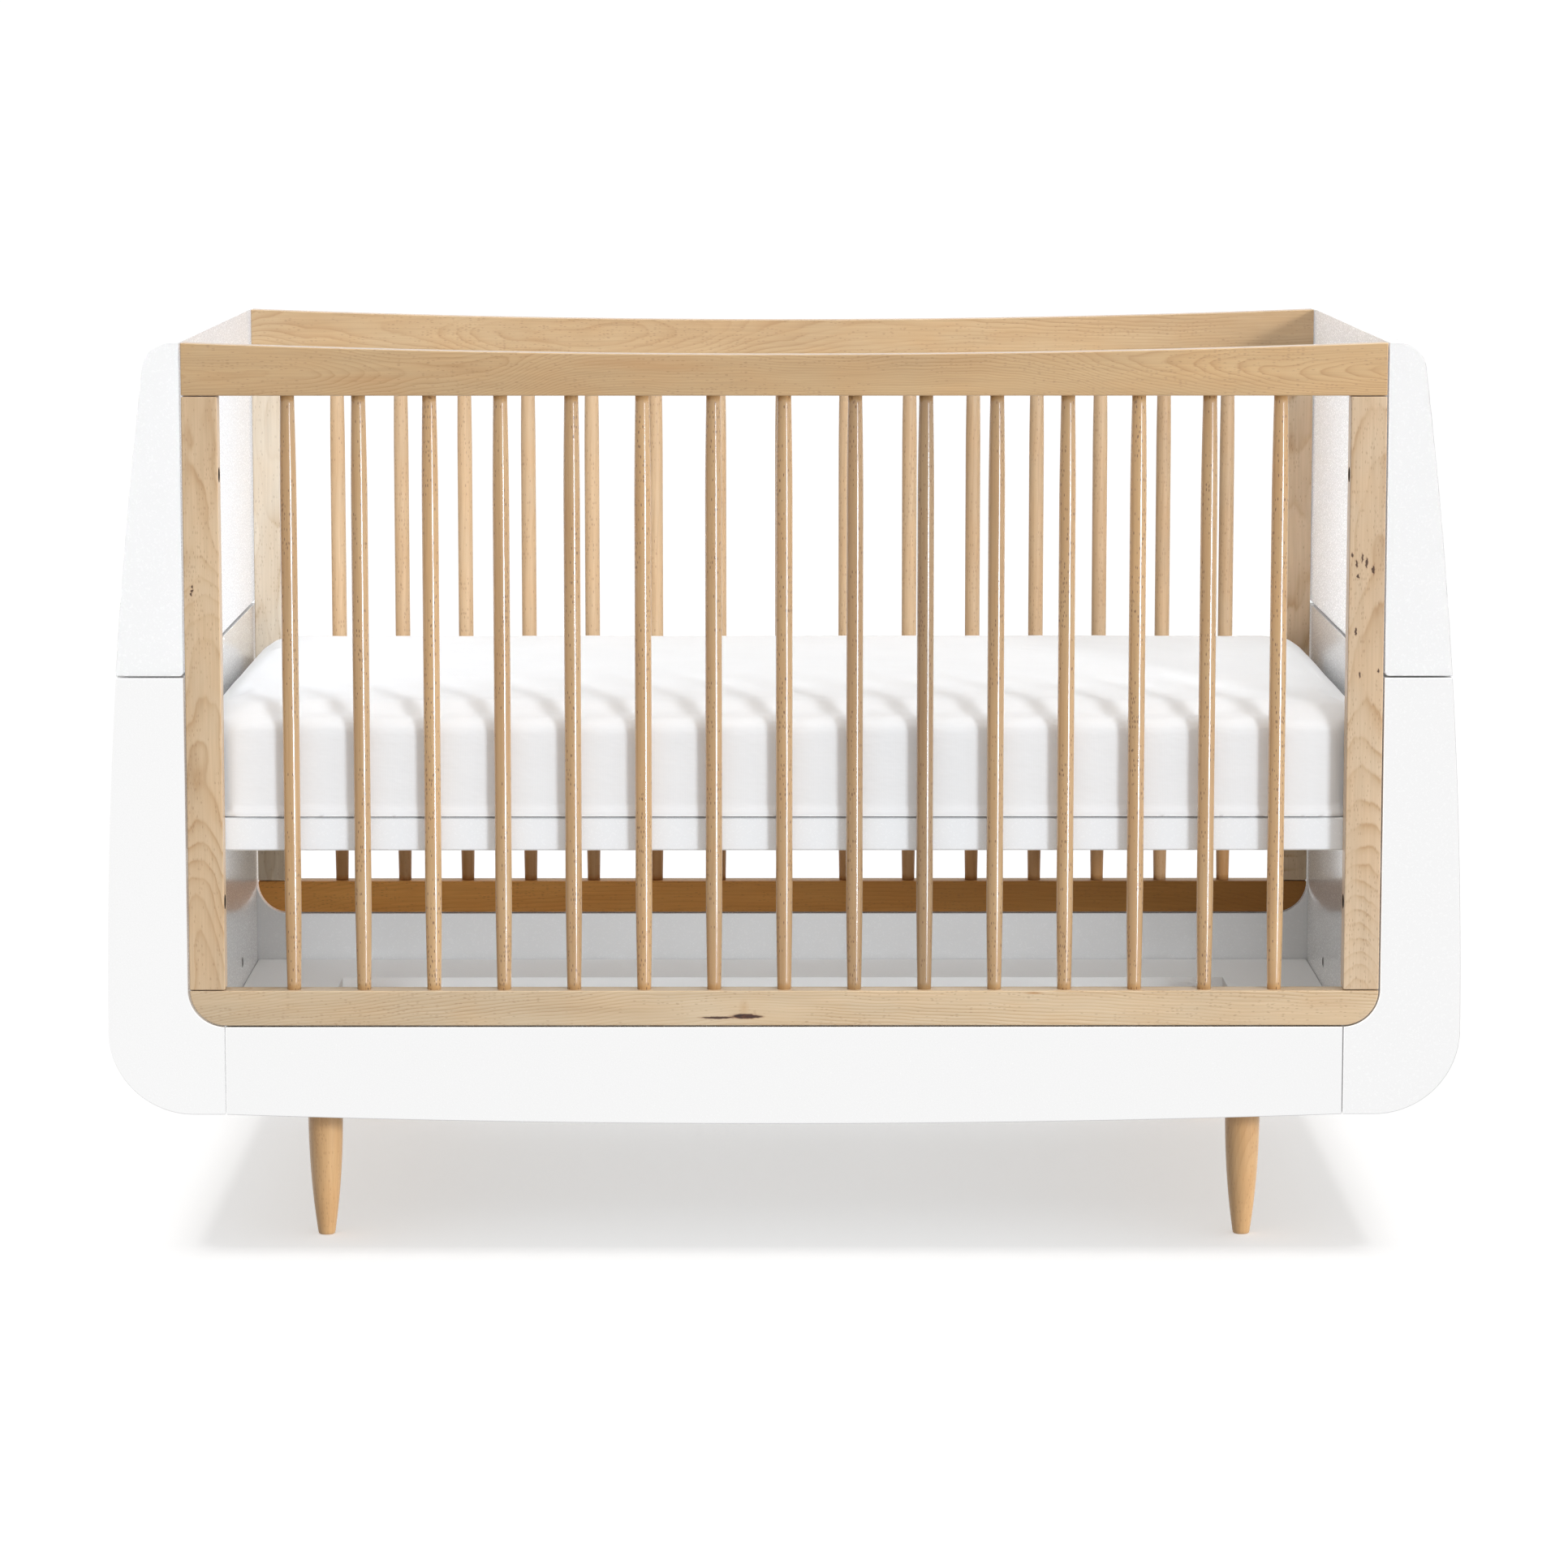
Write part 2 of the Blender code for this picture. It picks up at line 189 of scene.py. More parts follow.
def blank(name):
    """A new node material with its tree and its Principled shader."""
    material = bpy.data.materials.new(name)
    material.use_nodes = True
    tree = material.node_tree
    return material, tree, tree.nodes["Principled BSDF"]


def object_place(tree):
    return node(tree, "ShaderNodeTexCoord").outputs["Object"]


def vector_math(tree, operation, first, second):
    return node(tree, "ShaderNodeVectorMath", {0: first, 1: second}, operation=operation).outputs[0]


def number_math(tree, operation, first, second=0.0):
    return node(tree, "ShaderNodeMath", {0: first, 1: second}, operation=operation).outputs[0]


def product(tree, first, second):
    return number_math(tree, "MULTIPLY", first, second)


def noise_node(tree, place, stretch, detail=2.0, roughness=0.5):
    """Noise with stretch cells to the metre along each axis."""
    spot = vector_math(tree, "MULTIPLY", place, stretch)
    return node(tree, "ShaderNodeTexNoise", {"Vector": spot, "Scale": 1.0, "Detail": detail,
                                             "Roughness": roughness})


def noise_value(tree, place, stretch, detail=2.0, roughness=0.5):
    return noise_node(tree, place, stretch, detail, roughness).outputs["Fac"]


def noise_colour(tree, place, stretch, detail=2.0):
    return noise_node(tree, place, stretch, detail).outputs["Color"]


def remap(tree, value, from_low, from_high, to_low, to_high):
    """value carried from one range to another, clamped."""
    made = node(tree, "ShaderNodeMapRange", {"Value": value, "From Min": from_low, "From Max": from_high,
                                             "To Min": to_low, "To Max": to_high})
    made.clamp = True
    return made.outputs[0]


def ramp(tree, value, stops):
    """A colour ramp from (position, colour) stops."""
    made = node(tree, "ShaderNodeValToRGB", {0: value})
    points = made.color_ramp.elements
    while len(points) < len(stops):
        points.new(0.5)
    for point, (position, colour) in zip(points, stops):
        point.position = position
        point.color = (*colour, 1.0)
    return made.outputs["Color"]


def mixed(tree, factor, first, second, blend="MIX"):
    made = node(tree, "ShaderNodeMix", {0: factor, 6: first, 7: second}, data_type="RGBA", blend_type=blend)
    return made.outputs[2]


def bump(tree, height, strength, distance):
    made = node(tree, "ShaderNodeBump", {"Height": height, "Strength": strength, "Distance": distance})
    return made.outputs["Normal"]


# ------------------------ materials

# For each grain direction: the axes along, across and into the board
GRAIN_ORDER = {"X": "XZY", "Z": "ZXY", "Y": "YXZ"}
LATE_WOOD_SHADE = (0.70, 0.58, 0.44)
FLECK_BROWN = (0.20, 0.095, 0.040, 1.0)
# Brown for real stains and for painted shade
STAIN_AND_SHADE_BROWN = (0.42, 0.20, 0.065, 1.0)
MARK_RIM = (0.20, 0.060, 0.018, 1.0)
MARK_CORE = (0.030, 0.010, 0.006, 1.0)
MARK_RAGGEDNESS = (0.0045, 0.0, 0.0016)
SEED_SHIFT = (1.37, 0.71, 0.43)
RING_JITTER = 0.0004
LACQUER_SHADE = 0.994
NOISE_RANGE = (0.3, 0.7)
EVERYWHERE = 9.0
REAR_INNER_Y = 0.347
REAR_OUTER_Y = 0.366
LATE_WOOD = ((0.0, 0.20), (0.07, 0.0), (0.45, 0.10), (0.75, 0.45), (0.92, 1.0), (1.0, 0.20))


def curve(tree, value, points):
    """A smooth function of value through (position, height) points."""
    first, last = points[0][0], points[-1][0]
    heights = [height for _, height in points]
    low, high = min(heights), max(heights) + 1e-4
    spot = remap(tree, value, first, last, 0.0, 1.0)
    made = node(tree, "ShaderNodeFloatCurve", {"Factor": 1.0, "Value": spot})
    line = made.mapping.curves[0]
    line.points[0].location = (0.0, (points[0][1] - low) / (high - low))
    line.points[1].location = (1.0, (points[-1][1] - low) / (high - low))
    for position, height in points[1:-1]:
        line.points.new((position - first) / (last - first), (height - low) / (high - low))
    made.mapping.update()
    return remap(tree, made.outputs[0], 0.0, 1.0, low, high)


def lens(tree, place, centre, size, rim):
    """1 inside an elongated mark centred on the wood, falling to 0 at its rim."""
    offset = vector_math(tree, "SUBTRACT", place, centre)
    scaled = vector_math(tree, "DIVIDE", offset, size)
    distance = node(tree, "ShaderNodeVectorMath", {0: scaled}, operation="LENGTH").outputs["Value"]
    return remap(tree, distance, rim, 1.0, 1.0, 0.0)


def growth_rings(tree, across, along, depth, shifted, pith_across, pith_depth, spacing, wander, board, lifts):
    """0 to 1 over each year's growth, by the distance from a pith that wanders past the board."""
    slow_noise = noise_colour(tree, shifted, (7.0, 12.0, 12.0))
    slow = node(tree, "ShaderNodeSeparateXYZ", {0: slow_noise}).outputs
    quick = noise_value(tree, shifted, (30.0, 120.0, 120.0))
    sideways = number_math(tree, "SUBTRACT", across, curve(tree, along, pith_across))
    for centre, reach, lift in lifts:
        near = lens(tree, board, (*centre, 0.0), (*reach, EVERYWHERE), 0.0)
        sideways = number_math(tree, "SUBTRACT", sideways, product(tree, near, lift))
    sideways = number_math(tree, "ADD", sideways, remap(tree, slow[0], *NOISE_RANGE, -wander, wander))
    inward = number_math(tree, "SUBTRACT", depth, curve(tree, along, pith_depth))
    inward = number_math(tree, "ADD", inward, remap(tree, slow[1], *NOISE_RANGE, -wander, wander))
    squares = number_math(tree, "ADD", product(tree, sideways, sideways), product(tree, inward, inward))
    jitter = remap(tree, quick, *NOISE_RANGE, -RING_JITTER, RING_JITTER)
    radius = number_math(tree, "ADD", number_math(tree, "SQRT", squares), jitter)
    count = number_math(tree, "DIVIDE", radius, spacing)
    stops = [(spot, (level,) * 3) for spot, level in LATE_WOOD]
    late = ramp(tree, number_math(tree, "FRACT", count), stops)
    faded = noise_value(tree, shifted, (5.0, 40.0, 40.0), 1.0)
    return product(tree, late, remap(tree, faded, 0.38, 0.62, 0.25, 1.0))


def ray_flecks(tree, shifted):
    """Beech's short dark dashes along the grain, thicker in some patches than in others."""
    cell_place = vector_math(tree, "MULTIPLY", shifted, (210.0, 700.0, 700.0))
    cells = node(tree, "ShaderNodeTexVoronoi", {"Vector": cell_place, "Scale": 1.0})
    chosen = node(tree, "ShaderNodeSeparateColor", {0: cells.outputs["Color"]}).outputs[0]
    patch = noise_value(tree, shifted, (9.0, 70.0, 70.0), 1.0)
    threshold = remap(tree, patch, 0.38, 0.70, 0.985, 0.50)
    picked = number_math(tree, "GREATER_THAN", chosen, threshold)
    dash = remap(tree, cells.outputs["Distance"], 0.22, 0.45, 1.0, 0.0)
    return product(tree, dash, picked)


def tinted(tree, colour, value, low_stop, high_stop):
    """colour multiplied by a ramp of value between two (position, colour) stops."""
    return mixed(tree, 1.0, colour, ramp(tree, value, [low_stop, high_stop]), "MULTIPLY")


def stained_or_shaded(tree, colour, place, broad, stains_and_shade):
    """Soft brown patches, uneven inside: real stains, or painted shade where a board lies in shade."""
    for centre, size, strength in stains_and_shade:
        patchy = product(tree, lens(tree, place, centre, size, 0.1), remap(tree, broad, 0.35, 0.6, 0.5, 1.0))
        colour = mixed(tree, product(tree, patchy, strength), colour, STAIN_AND_SHADE_BROWN)
    return colour


def marked(tree, colour, place, marks):
    """Knots and nicks: a dark core with a ragged reddish rim."""
    wobble = noise_colour(tree, place, (260.0, 260.0, 260.0))
    centred = vector_math(tree, "SUBTRACT", wobble, (0.5, 0.5, 0.5))
    torn = vector_math(tree, "ADD", place, vector_math(tree, "MULTIPLY", centred, MARK_RAGGEDNESS))
    for centre, size, strength in marks:
        halo = lens(tree, torn, centre, tuple(reach * 1.35 for reach in size), 0.55)
        colour = mixed(tree, product(tree, halo, 0.55 * strength), colour, MARK_RIM)
        core = lens(tree, torn, centre, size, 0.72)
        colour = mixed(tree, product(tree, core, strength), colour, MARK_CORE)
    return colour


def beech(name, grain, tone, pith_across, pith_depth, seed=0.0, spacing=0.009, rings=0.40, flecks=0.30,
          marks=(), stains_and_shade=(), lifts=(), shades=None, coat=0.35, gloss=0.24, wander=0.003, sheen=0.30,
          outdoor=None):
    """Lacquered beech sawn from a tree whose pith wanders past the board.

    pith_across and pith_depth give the pith's place over the board's length; lifts bend the grain
    around knots; the brown patches are real stains or painted shade; shades is brightness over the crib's
    length; wander is how far the rings stray; outdoor is the tone of the rear side's outer face, and
    where it is given the tone and shades are painted shade on the inner face only.
    """
    material, tree, shader = blank(name)
    place = object_place(tree)
    parts = node(tree, "ShaderNodeSeparateXYZ", {0: place})
    along, across, depth = (parts.outputs[axis] for axis in GRAIN_ORDER[grain])
    board = node(tree, "ShaderNodeCombineXYZ", {0: along, 1: across, 2: depth}).outputs[0]
    shifted = vector_math(tree, "ADD", board, tuple(seed * share for share in SEED_SHIFT))
    late = growth_rings(tree, across, along, depth, shifted, pith_across, pith_depth, spacing, wander, board,
                        lifts)
    ring = product(tree, late, rings)
    fibre = noise_value(tree, shifted, (14.0, 520.0, 520.0), 3.0, 0.6)
    broad = noise_value(tree, shifted, (3.0, 22.0, 22.0), 3.0)
    blush = noise_value(tree, shifted, (16.0, 30.0, 30.0))
    fleck = ray_flecks(tree, shifted)

    dark = tuple(channel * shade for channel, shade in zip(tone, LATE_WOOD_SHADE))
    colour = mixed(tree, ring, (*tone, 1.0), (*dark, 1.0))
    colour = tinted(tree, colour, broad, (0.30, (0.90, 0.875, 0.85)), (0.70, (1.06, 1.06, 1.06)))
    colour = tinted(tree, colour, blush, (0.35, (1.0, 0.965, 0.93)), (0.65, (1.0, 1.01, 1.03)))
    colour = tinted(tree, colour, fibre, (0.30, (0.93, 0.92, 0.90)), (0.70, (1.05, 1.05, 1.05)))
    unshaded = colour
    if shades:
        bright = curve(tree, parts.outputs["X"], shades)
        grey = node(tree, "ShaderNodeCombineColor", {0: bright, 1: bright, 2: bright}).outputs[0]
        colour = mixed(tree, 1.0, colour, grey, "MULTIPLY")
    # The tone and shades paint shade on the inner face; the outer face gets the plain outdoor tone, without
    # the shades
    if outdoor:
        ratio = tuple(outer / inner for outer, inner in zip(outdoor, tone))
        outside = mixed(tree, 1.0, unshaded, (*ratio, 1.0), "MULTIPLY")
        outward = remap(tree, parts.outputs["Y"], REAR_INNER_Y, REAR_OUTER_Y, 0.0, 1.0)
        colour = mixed(tree, outward, colour, outside)
    colour = mixed(tree, product(tree, fleck, flecks), colour, FLECK_BROWN)
    # Brown patches: real stains, and painted shade where a board lies in shade
    colour = stained_or_shaded(tree, colour, place, broad, stains_and_shade)
    colour = marked(tree, colour, place, marks)
    height = number_math(tree, "SUBTRACT", fibre, fleck)
    wire(tree, shader, {"Base Color": colour, "Roughness": remap(tree, fibre, *NOISE_RANGE, 0.50, 0.40),
                        "Normal": bump(tree, height, 0.15, 0.0003), "Specular IOR Level": sheen,
                        "Coat Weight": coat, "Coat Roughness": gloss})
    return material


def lacquer(name, tone, gloss_low=0.25, gloss_high=0.28, coat=0.12):
    """Sprayed white lacquer with a trace of orange peel in its tone, its gloss and its surface."""
    material, tree, shader = blank(name)
    place = object_place(tree)
    peel = noise_value(tree, place, (520.0, 520.0, 520.0), 1.0)
    low = tuple(channel * LACQUER_SHADE for channel in tone)
    wire(tree, shader, {"Base Color": ramp(tree, peel, [(0.3, low), (0.7, tone)]),
                        "Roughness": remap(tree, peel, *NOISE_RANGE, gloss_high, gloss_low),
                        "Normal": bump(tree, peel, 0.01, 0.00001), "Coat Weight": coat,
                        "Coat Roughness": 0.12})
    return material


def cotton(name):
    """Close cotton jersey: two crossing yarn waves, a little fluff and uneven shade."""
    material, tree, shader = blank(name)
    place = object_place(tree)
    yarns = []
    for direction in ("X", "Y"):
        wave = node(tree, "ShaderNodeTexWave", {"Vector": place, "Scale": 260.0, "Distortion": 1.2,
                                                "Detail": 1.0, "Detail Scale": 2.0},
                    wave_type="BANDS", bands_direction=direction, wave_profile="SIN")
        yarns.append(wave.outputs["Fac"])
    upright = node(tree, "ShaderNodeTexWave", {"Vector": place, "Scale": 260.0, "Distortion": 1.2},
                   wave_type="BANDS", bands_direction="Z", wave_profile="SIN").outputs["Fac"]
    weave = product(tree, number_math(tree, "MAXIMUM", *yarns), remap(tree, upright, 0.0, 1.0, 0.7, 1.0))
    fluff = noise_value(tree, place, (900.0, 900.0, 900.0), 2.0)
    shade = noise_value(tree, place, (9.0, 9.0, 9.0), 4.0, 0.6)
    colour = ramp(tree, shade, [(0.3, (0.895, 0.905, 0.915)), (0.7, (0.920, 0.930, 0.940))])
    # Painted shade: darker in the weave's hollows between the yarns
    colour = mixed(tree, remap(tree, weave, 0.2, 0.9, 0.10, 0.0), colour, (0.66, 0.655, 0.64, 1.0))
    rumple = noise_value(tree, place, (18.0, 30.0, 40.0), 3.0, 0.55)
    height = number_math(tree, "ADD", product(tree, weave, 0.25), product(tree, fluff, 0.25))
    fine = bump(tree, height, 0.30, 0.0003)
    coarse = node(tree, "ShaderNodeBump", {"Height": rumple, "Strength": 0.35, "Distance": 0.004,
                                           "Normal": fine}).outputs["Normal"]
    wire(tree, shader, {"Base Color": colour, "Normal": coarse, "Sheen Weight": 0.25,
                        "Roughness": remap(tree, shade, *NOISE_RANGE, 0.88, 0.96)})
    return material


def steel(name):
    """Brushed bolt steel, scratched along its length."""
    material, tree, shader = blank(name)
    place = object_place(tree)
    scratch = noise_value(tree, place, (300.0, 2400.0, 2400.0), 2.0)
    colour = ramp(tree, scratch, [(0.3, (0.30, 0.29, 0.28)), (0.7, (0.46, 0.45, 0.44))])
    wire(tree, shader, {"Base Color": colour, "Roughness": remap(tree, scratch, *NOISE_RANGE, 0.42, 0.28),
                        "Normal": bump(tree, scratch, 0.10, 0.0001), "Metallic": 1.0})
    return material


def painted_shade_hole(name):
    """Near black walls of a drilled hole: painted shade for the dark deep inside it."""
    material, tree, shader = blank(name)
    place = object_place(tree)
    hole_speckle = noise_value(tree, place, (400.0, 400.0, 400.0), 2.0)
    colour = ramp(tree, hole_speckle, [(0.3, (0.010, 0.007, 0.005)), (0.7, (0.022, 0.015, 0.010))])
    wire(tree, shader, {"Base Color": colour, "Roughness": remap(tree, hole_speckle, *NOISE_RANGE, 0.70, 0.90),
                        "Normal": bump(tree, hole_speckle, 0.20, 0.0002)})
    return material


def on_front(x, z, reach_x, reach_z, strength, depth=0.02):
    """A mark or stain on the crib's front: its centre, size and strength."""
    return (x, FRONT_FACE, z), (reach_x, depth, reach_z), strength


KNOT = (on_front(-0.0395, 0.2340, 0.0135, 0.0027, 1.0),
        on_front(-0.0310, 0.2336, 0.0100, 0.0016, 0.9),
        on_front(-0.0655, 0.2326, 0.0175, 0.0013, 0.9))
KNOT_STAINS = (on_front(-0.040, 0.243, 0.006, 0.011, 0.30),
               on_front(0.247, 0.2572, 0.012, 0.0016, 0.85),
               on_front(0.540, 0.246, 0.045, 0.010, 0.22))
RAIL_STAINS = (on_front(-0.150, 0.8800, 0.085, 0.0085, 0.42),
               on_front(-0.110, 0.8745, 0.060, 0.0050, 0.30),
               on_front(-0.400, 0.8640, 0.075, 0.0060, 0.30))
STILE_MARKS = tuple(on_front(x, z, 0.0011, length, 0.85, 0.004) for x, z, length in (
    (0.5560, 0.6920, 0.0028), (0.5610, 0.6835, 0.0040), (0.5660, 0.6890, 0.0050),
    (0.5705, 0.6845, 0.0055), (0.5770, 0.6775, 0.0045), (0.5625, 0.6715, 0.0024),
    (0.5610, 0.6170, 0.0042), (0.5650, 0.5740, 0.0034), (0.5830, 0.5780, 0.0022)))
LEFT_MARKS = tuple(on_front(x, z, 0.0010, 0.0018, 0.8, 0.004) for x, z in (
    (-0.5800, 0.6610), (-0.5800, 0.6570), (-0.5808, 0.6535)))
# Painted shade: browner and darker low on the rear spindles, below the platform, where they lie in shade
LOW_PAINTED_SHADE = (((0.0, 0.35, 0.26), (EVERYWHERE, EVERYWHERE, 0.20), 1.0),)
# (place along the crib, brightness of the front spindles there)
FRONT_SHADES = ((-0.60, 1.0), (-0.49, 0.96), (-0.42, 0.94), (-0.35, 1.06), (-0.28, 1.02), (-0.21, 0.97),
                (-0.14, 1.08), (-0.07, 0.95), (0.0, 0.97), (0.065, 0.84), (0.138, 0.68), (0.205, 0.88),
                (0.28, 0.96), (0.35, 1.03), (0.42, 0.94), (0.49, 1.12), (0.60, 1.0))

# Each board: name, grain, tone, its pith across and in depth as (place along, value) pairs, then its
# seed, ring spacing, and the strength of its rings and of its flecks
BEECH_FRONT_TOP = beech(
    "beech_front_top_rail", "X", (0.520, 0.354, 0.184),
    ((-0.60, 0.866), (-0.48, 0.869), (-0.38, 0.872), (-0.28, 0.886), (-0.15, 0.912), (0.0, 0.910),
     (0.18, 0.912), (0.32, 0.890), (0.44, 0.875), (0.60, 0.871)),
    ((-0.60, -0.362), (-0.48, -0.354), (-0.36, -0.344), (-0.20, -0.338), (0.0, -0.336), (0.20, -0.336),
     (0.34, -0.342), (0.46, -0.351), (0.60, -0.364)),
    1.0, 0.0022, 0.60, stains_and_shade=RAIL_STAINS, coat=0.85, wander=0.0035,
    shades=((-0.60, 0.96), (-0.30, 0.98), (0.0, 1.03), (0.25, 1.09), (0.60, 1.24)))
BEECH_REAR_TOP = beech(
    "beech_rear_top_rail", "X", (0.540, 0.378, 0.212),
    ((-0.60, 0.905), (-0.42, 0.880), (-0.28, 0.870), (0.0, 0.890), (0.25, 0.910), (0.60, 0.925)),
    ((-0.60, 0.378), (-0.42, 0.392), (-0.28, 0.376), (-0.10, 0.385), (0.10, 0.396), (0.35, 0.380),
     (0.60, 0.366)),
    2.0, 0.0030, 0.60, coat=0.85, shades=((-0.60, 0.96), (0.0, 1.04), (0.60, 0.93)))
BEECH_BOTTOM = beech(
    "beech_bottom_rail", "X", (0.600, 0.474, 0.322),
    ((-0.60, 0.290), (-0.45, 0.310), (-0.20, 0.325), (-0.04, 0.330), (0.20, 0.325), (0.60, 0.318)),
    ((-0.60, -0.360), (-0.30, -0.335), (0.0, -0.315), (0.60, -0.330)),
    3.0, 0.0030, 0.80, marks=KNOT, stains_and_shade=KNOT_STAINS, lifts=(((-0.040, 0.236), (0.095, 0.030), 0.0085),),
    shades=((-0.60, 0.92), (0.0, 1.03), (0.60, 1.12)))
# Painted shade: this dark tone and its shades, darker towards the right, paint the shade on the rail's inner
# face under the platform
BEECH_REAR_BOTTOM = beech(
    "beech_rear_bottom_rail", "X", (0.520, 0.244, 0.066),
    ((-0.60, 0.30), (0.0, 0.34), (0.60, 0.30)), ((-0.60, 0.37), (0.0, 0.41), (0.60, 0.38)), 9.0, 0.004, 0.45,
    coat=0.05, sheen=0.10, shades=((-0.60, 1.48), (0.0, 1.12), (0.60, 0.68)),
    outdoor=(0.580, 0.430, 0.262))
BEECH_LEFT_STILE = beech(
    "beech_left_stile", "Z", (0.590, 0.442, 0.287),
    ((0.25, -0.570), (0.45, -0.576), (0.60, -0.564), (0.72, -0.584), (0.85, -0.576)),
    ((0.25, -0.352), (0.34, -0.340), (0.45, -0.322), (0.58, -0.312), (0.72, -0.290), (0.85, -0.286)),
    4.0, 0.0044, 0.75, marks=LEFT_MARKS, wander=0.004)
BEECH_RIGHT_STILE = beech(
    "beech_right_stile", "Z", (0.648, 0.498, 0.342),
    ((0.25, 0.568), (0.50, 0.572), (0.70, 0.585), (0.85, 0.565)),
    ((0.25, -0.352), (0.30, -0.338), (0.42, -0.304), (0.48, -0.293), (0.60, -0.284), (0.85, -0.270)),
    5.0, 0.0042, 0.80, marks=STILE_MARKS)
# Painted light: paler and less saturated than the other stiles, for the light on its inner face, besides its
# own lamp
BEECH_REAR_LEFT_STILE = beech(
    "beech_rear_left_stile", "Z", (0.665, 0.560, 0.425),
    ((0.25, -0.572), (0.50, -0.580), (0.70, -0.566), (0.85, -0.575)),
    ((0.25, 0.366), (0.45, 0.374), (0.62, 0.392), (0.72, 0.385), (0.85, 0.400)),
    4.5, 0.0050, 0.50, wander=0.004)
FAR_PITH = (((0.10, 0.90), (0.90, 0.93)), ((0.10, 0.30), (0.90, 0.28)))
BEECH_SPINDLE = beech("beech_spindle", "Z", (0.560, 0.340, 0.150), *FAR_PITH, 6.0, 0.006, 0.25, 0.95,
                      shades=FRONT_SHADES, coat=0.9, gloss=0.13)
# Its low painted shade darkens the rear spindles' lower part, below the platform
BEECH_REAR_SPINDLE = beech("beech_rear_spindle", "Z", (0.545, 0.370, 0.210), *FAR_PITH, 6.5, 0.006, 0.25,
                           0.45, stains_and_shade=LOW_PAINTED_SHADE, coat=0.1, gloss=0.30,
                           shades=((-0.60, 1.08), (0.0, 1.05), (0.15, 0.97), (0.60, 0.88)))
BEECH_LEG = beech("beech_leg", "Z", (0.490, 0.300, 0.138), ((0.0, 0.02), (0.14, 0.03)),
                  ((0.0, 0.05), (0.14, 0.02)), 7.0, 0.0050, 0.30, coat=0.5, gloss=0.26)
BEECH_CROSS = beech("beech_cross_rail", "Y", (0.520, 0.350, 0.190), ((-0.35, 0.30), (0.35, 0.32)),
                    ((-0.35, 0.08), (0.35, 0.05)), 8.0, 0.007, 0.40)
WHITE = lacquer("white_lacquer", (0.900, 0.900, 0.900))
# Painted light: a cooler copy of the white lacquer, cancelling the warm light the wooden parts throw onto the
# platform
WHITE_PLATFORM = lacquer("white_lacquer_platform", (0.905, 0.922, 0.936))
WHITE_GLOSS = lacquer("white_lacquer_inside", (0.900, 0.900, 0.900), coat=0.7)
BOARD = lacquer("white_board", (0.820, 0.815, 0.800), 0.36, 0.48)
COTTON = cotton("cotton_cover")
STEEL = steel("bolt_steel")
# Painted shade: near black for the walls of the drilled holes and for the insert bores
HOLE_SHADE = painted_shade_hole("drilled_hole")

# An insert's parts: name, outer radius, inner radius, how proud it stands, and its finish
# The bore: a near black disc, painted shade standing in for the dark inside the threaded hole
INSERT_PARTS = (("rim", 0.0056, 0.0045, 0.0004, STEEL), ("bore", 0.0046, 0.0, 0.0002, HOLE_SHADE))


# ------------------------ mesh helpers

def add_piece(name, shape, material, body, nodes=()):
    """A finished piece from a bmesh, riding on a body and standing for its CAD nodes."""
    mesh = bpy.data.meshes.new(name)
    shape.to_mesh(mesh)
    shape.free()
    mesh.shade_smooth()
    mesh.materials.append(material)
    piece = bpy.data.objects.new(name, mesh)
    bpy.context.scene.collection.objects.link(piece)
    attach(piece, body)
    if nodes:
        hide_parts(*nodes)
    return piece


def bake(piece):
    """Keeps what the modifiers make as plain mesh."""
    bpy.context.view_layer.update()
    evaluated = piece.evaluated_get(bpy.context.evaluated_depsgraph_get())
    mesh = bpy.data.meshes.new_from_object(evaluated)
    piece.modifiers.clear()
    piece.data = mesh


def soften(piece, width, segments=EDGE_SEGMENTS, angle=35.0):
    """Rounds the edges sharper than an angle."""
    bevel = piece.modifiers.new("edges", "BEVEL")
    bevel.width = width
    bevel.segments = segments
    bevel.limit_method = "ANGLE"
    bevel.angle_limit = math.radians(angle)
    bevel.harden_normals = True


def slab_shape(outline, y_low, y_high):
    """A board whose outline lies in the XZ plane."""
    shape = bmesh.new()
    near = [shape.verts.new((x, y_low, z)) for x, z in outline]
    far = [shape.verts.new((x, y_high, z)) for x, z in outline]
    shape.faces.new(near)
    shape.faces.new(far)
    bridge(shape, near, far)
    bmesh.ops.recalc_face_normals(shape, faces=shape.faces)
    return shape


def circle(centre, radius, sides):
    return arc(centre, radius, 0.0, 360.0, sides)[:-1]


def bridge(shape, lower, upper):
    """A band of faces between two rings of the same length."""
    for side, vert in enumerate(lower):
        following = (side + 1) % len(lower)
        shape.faces.new((vert, lower[following], upper[following], upper[side]))


def close_rings(shape, rings):
    """Faces from ring to ring, and one over the first and one over the last."""
    for lower, upper in zip(rings, rings[1:]):
        bridge(shape, lower, upper)
    shape.faces.new(rings[0])
    shape.faces.new(rings[-1])
    bmesh.ops.recalc_face_normals(shape, faces=shape.faces)


def lathe_shape(profile, sides, place):
    """A turned solid from (radius, height) pairs, closed at both ends."""
    shape = bmesh.new()
    rings = []
    for radius, height in profile:
        rings.append([shape.verts.new((x, y, height)) for x, y in circle(place, radius, sides)])
    close_rings(shape, rings)
    return shape


def arc(centre, radius, start, end, steps):
    """Points round a centre, from one angle to another in degrees."""
    points = []
    for step in range(steps + 1):
        angle = math.radians(start + (end - start) * step / steps)
        points.append((centre[0] + radius * math.cos(angle), centre[1] + radius * math.sin(angle)))
    return points


def mirrored(outline, hand):
    return [(hand * x, z) for x, z in outline]


# ------------------------ ends

def bow_x(z):
    """How far out the end's bowed face stands at a height."""
    return HALF_LENGTH - BOW_RADIUS + math.sqrt(BOW_RADIUS ** 2 - (z - BOW_WIDEST_Z) ** 2)


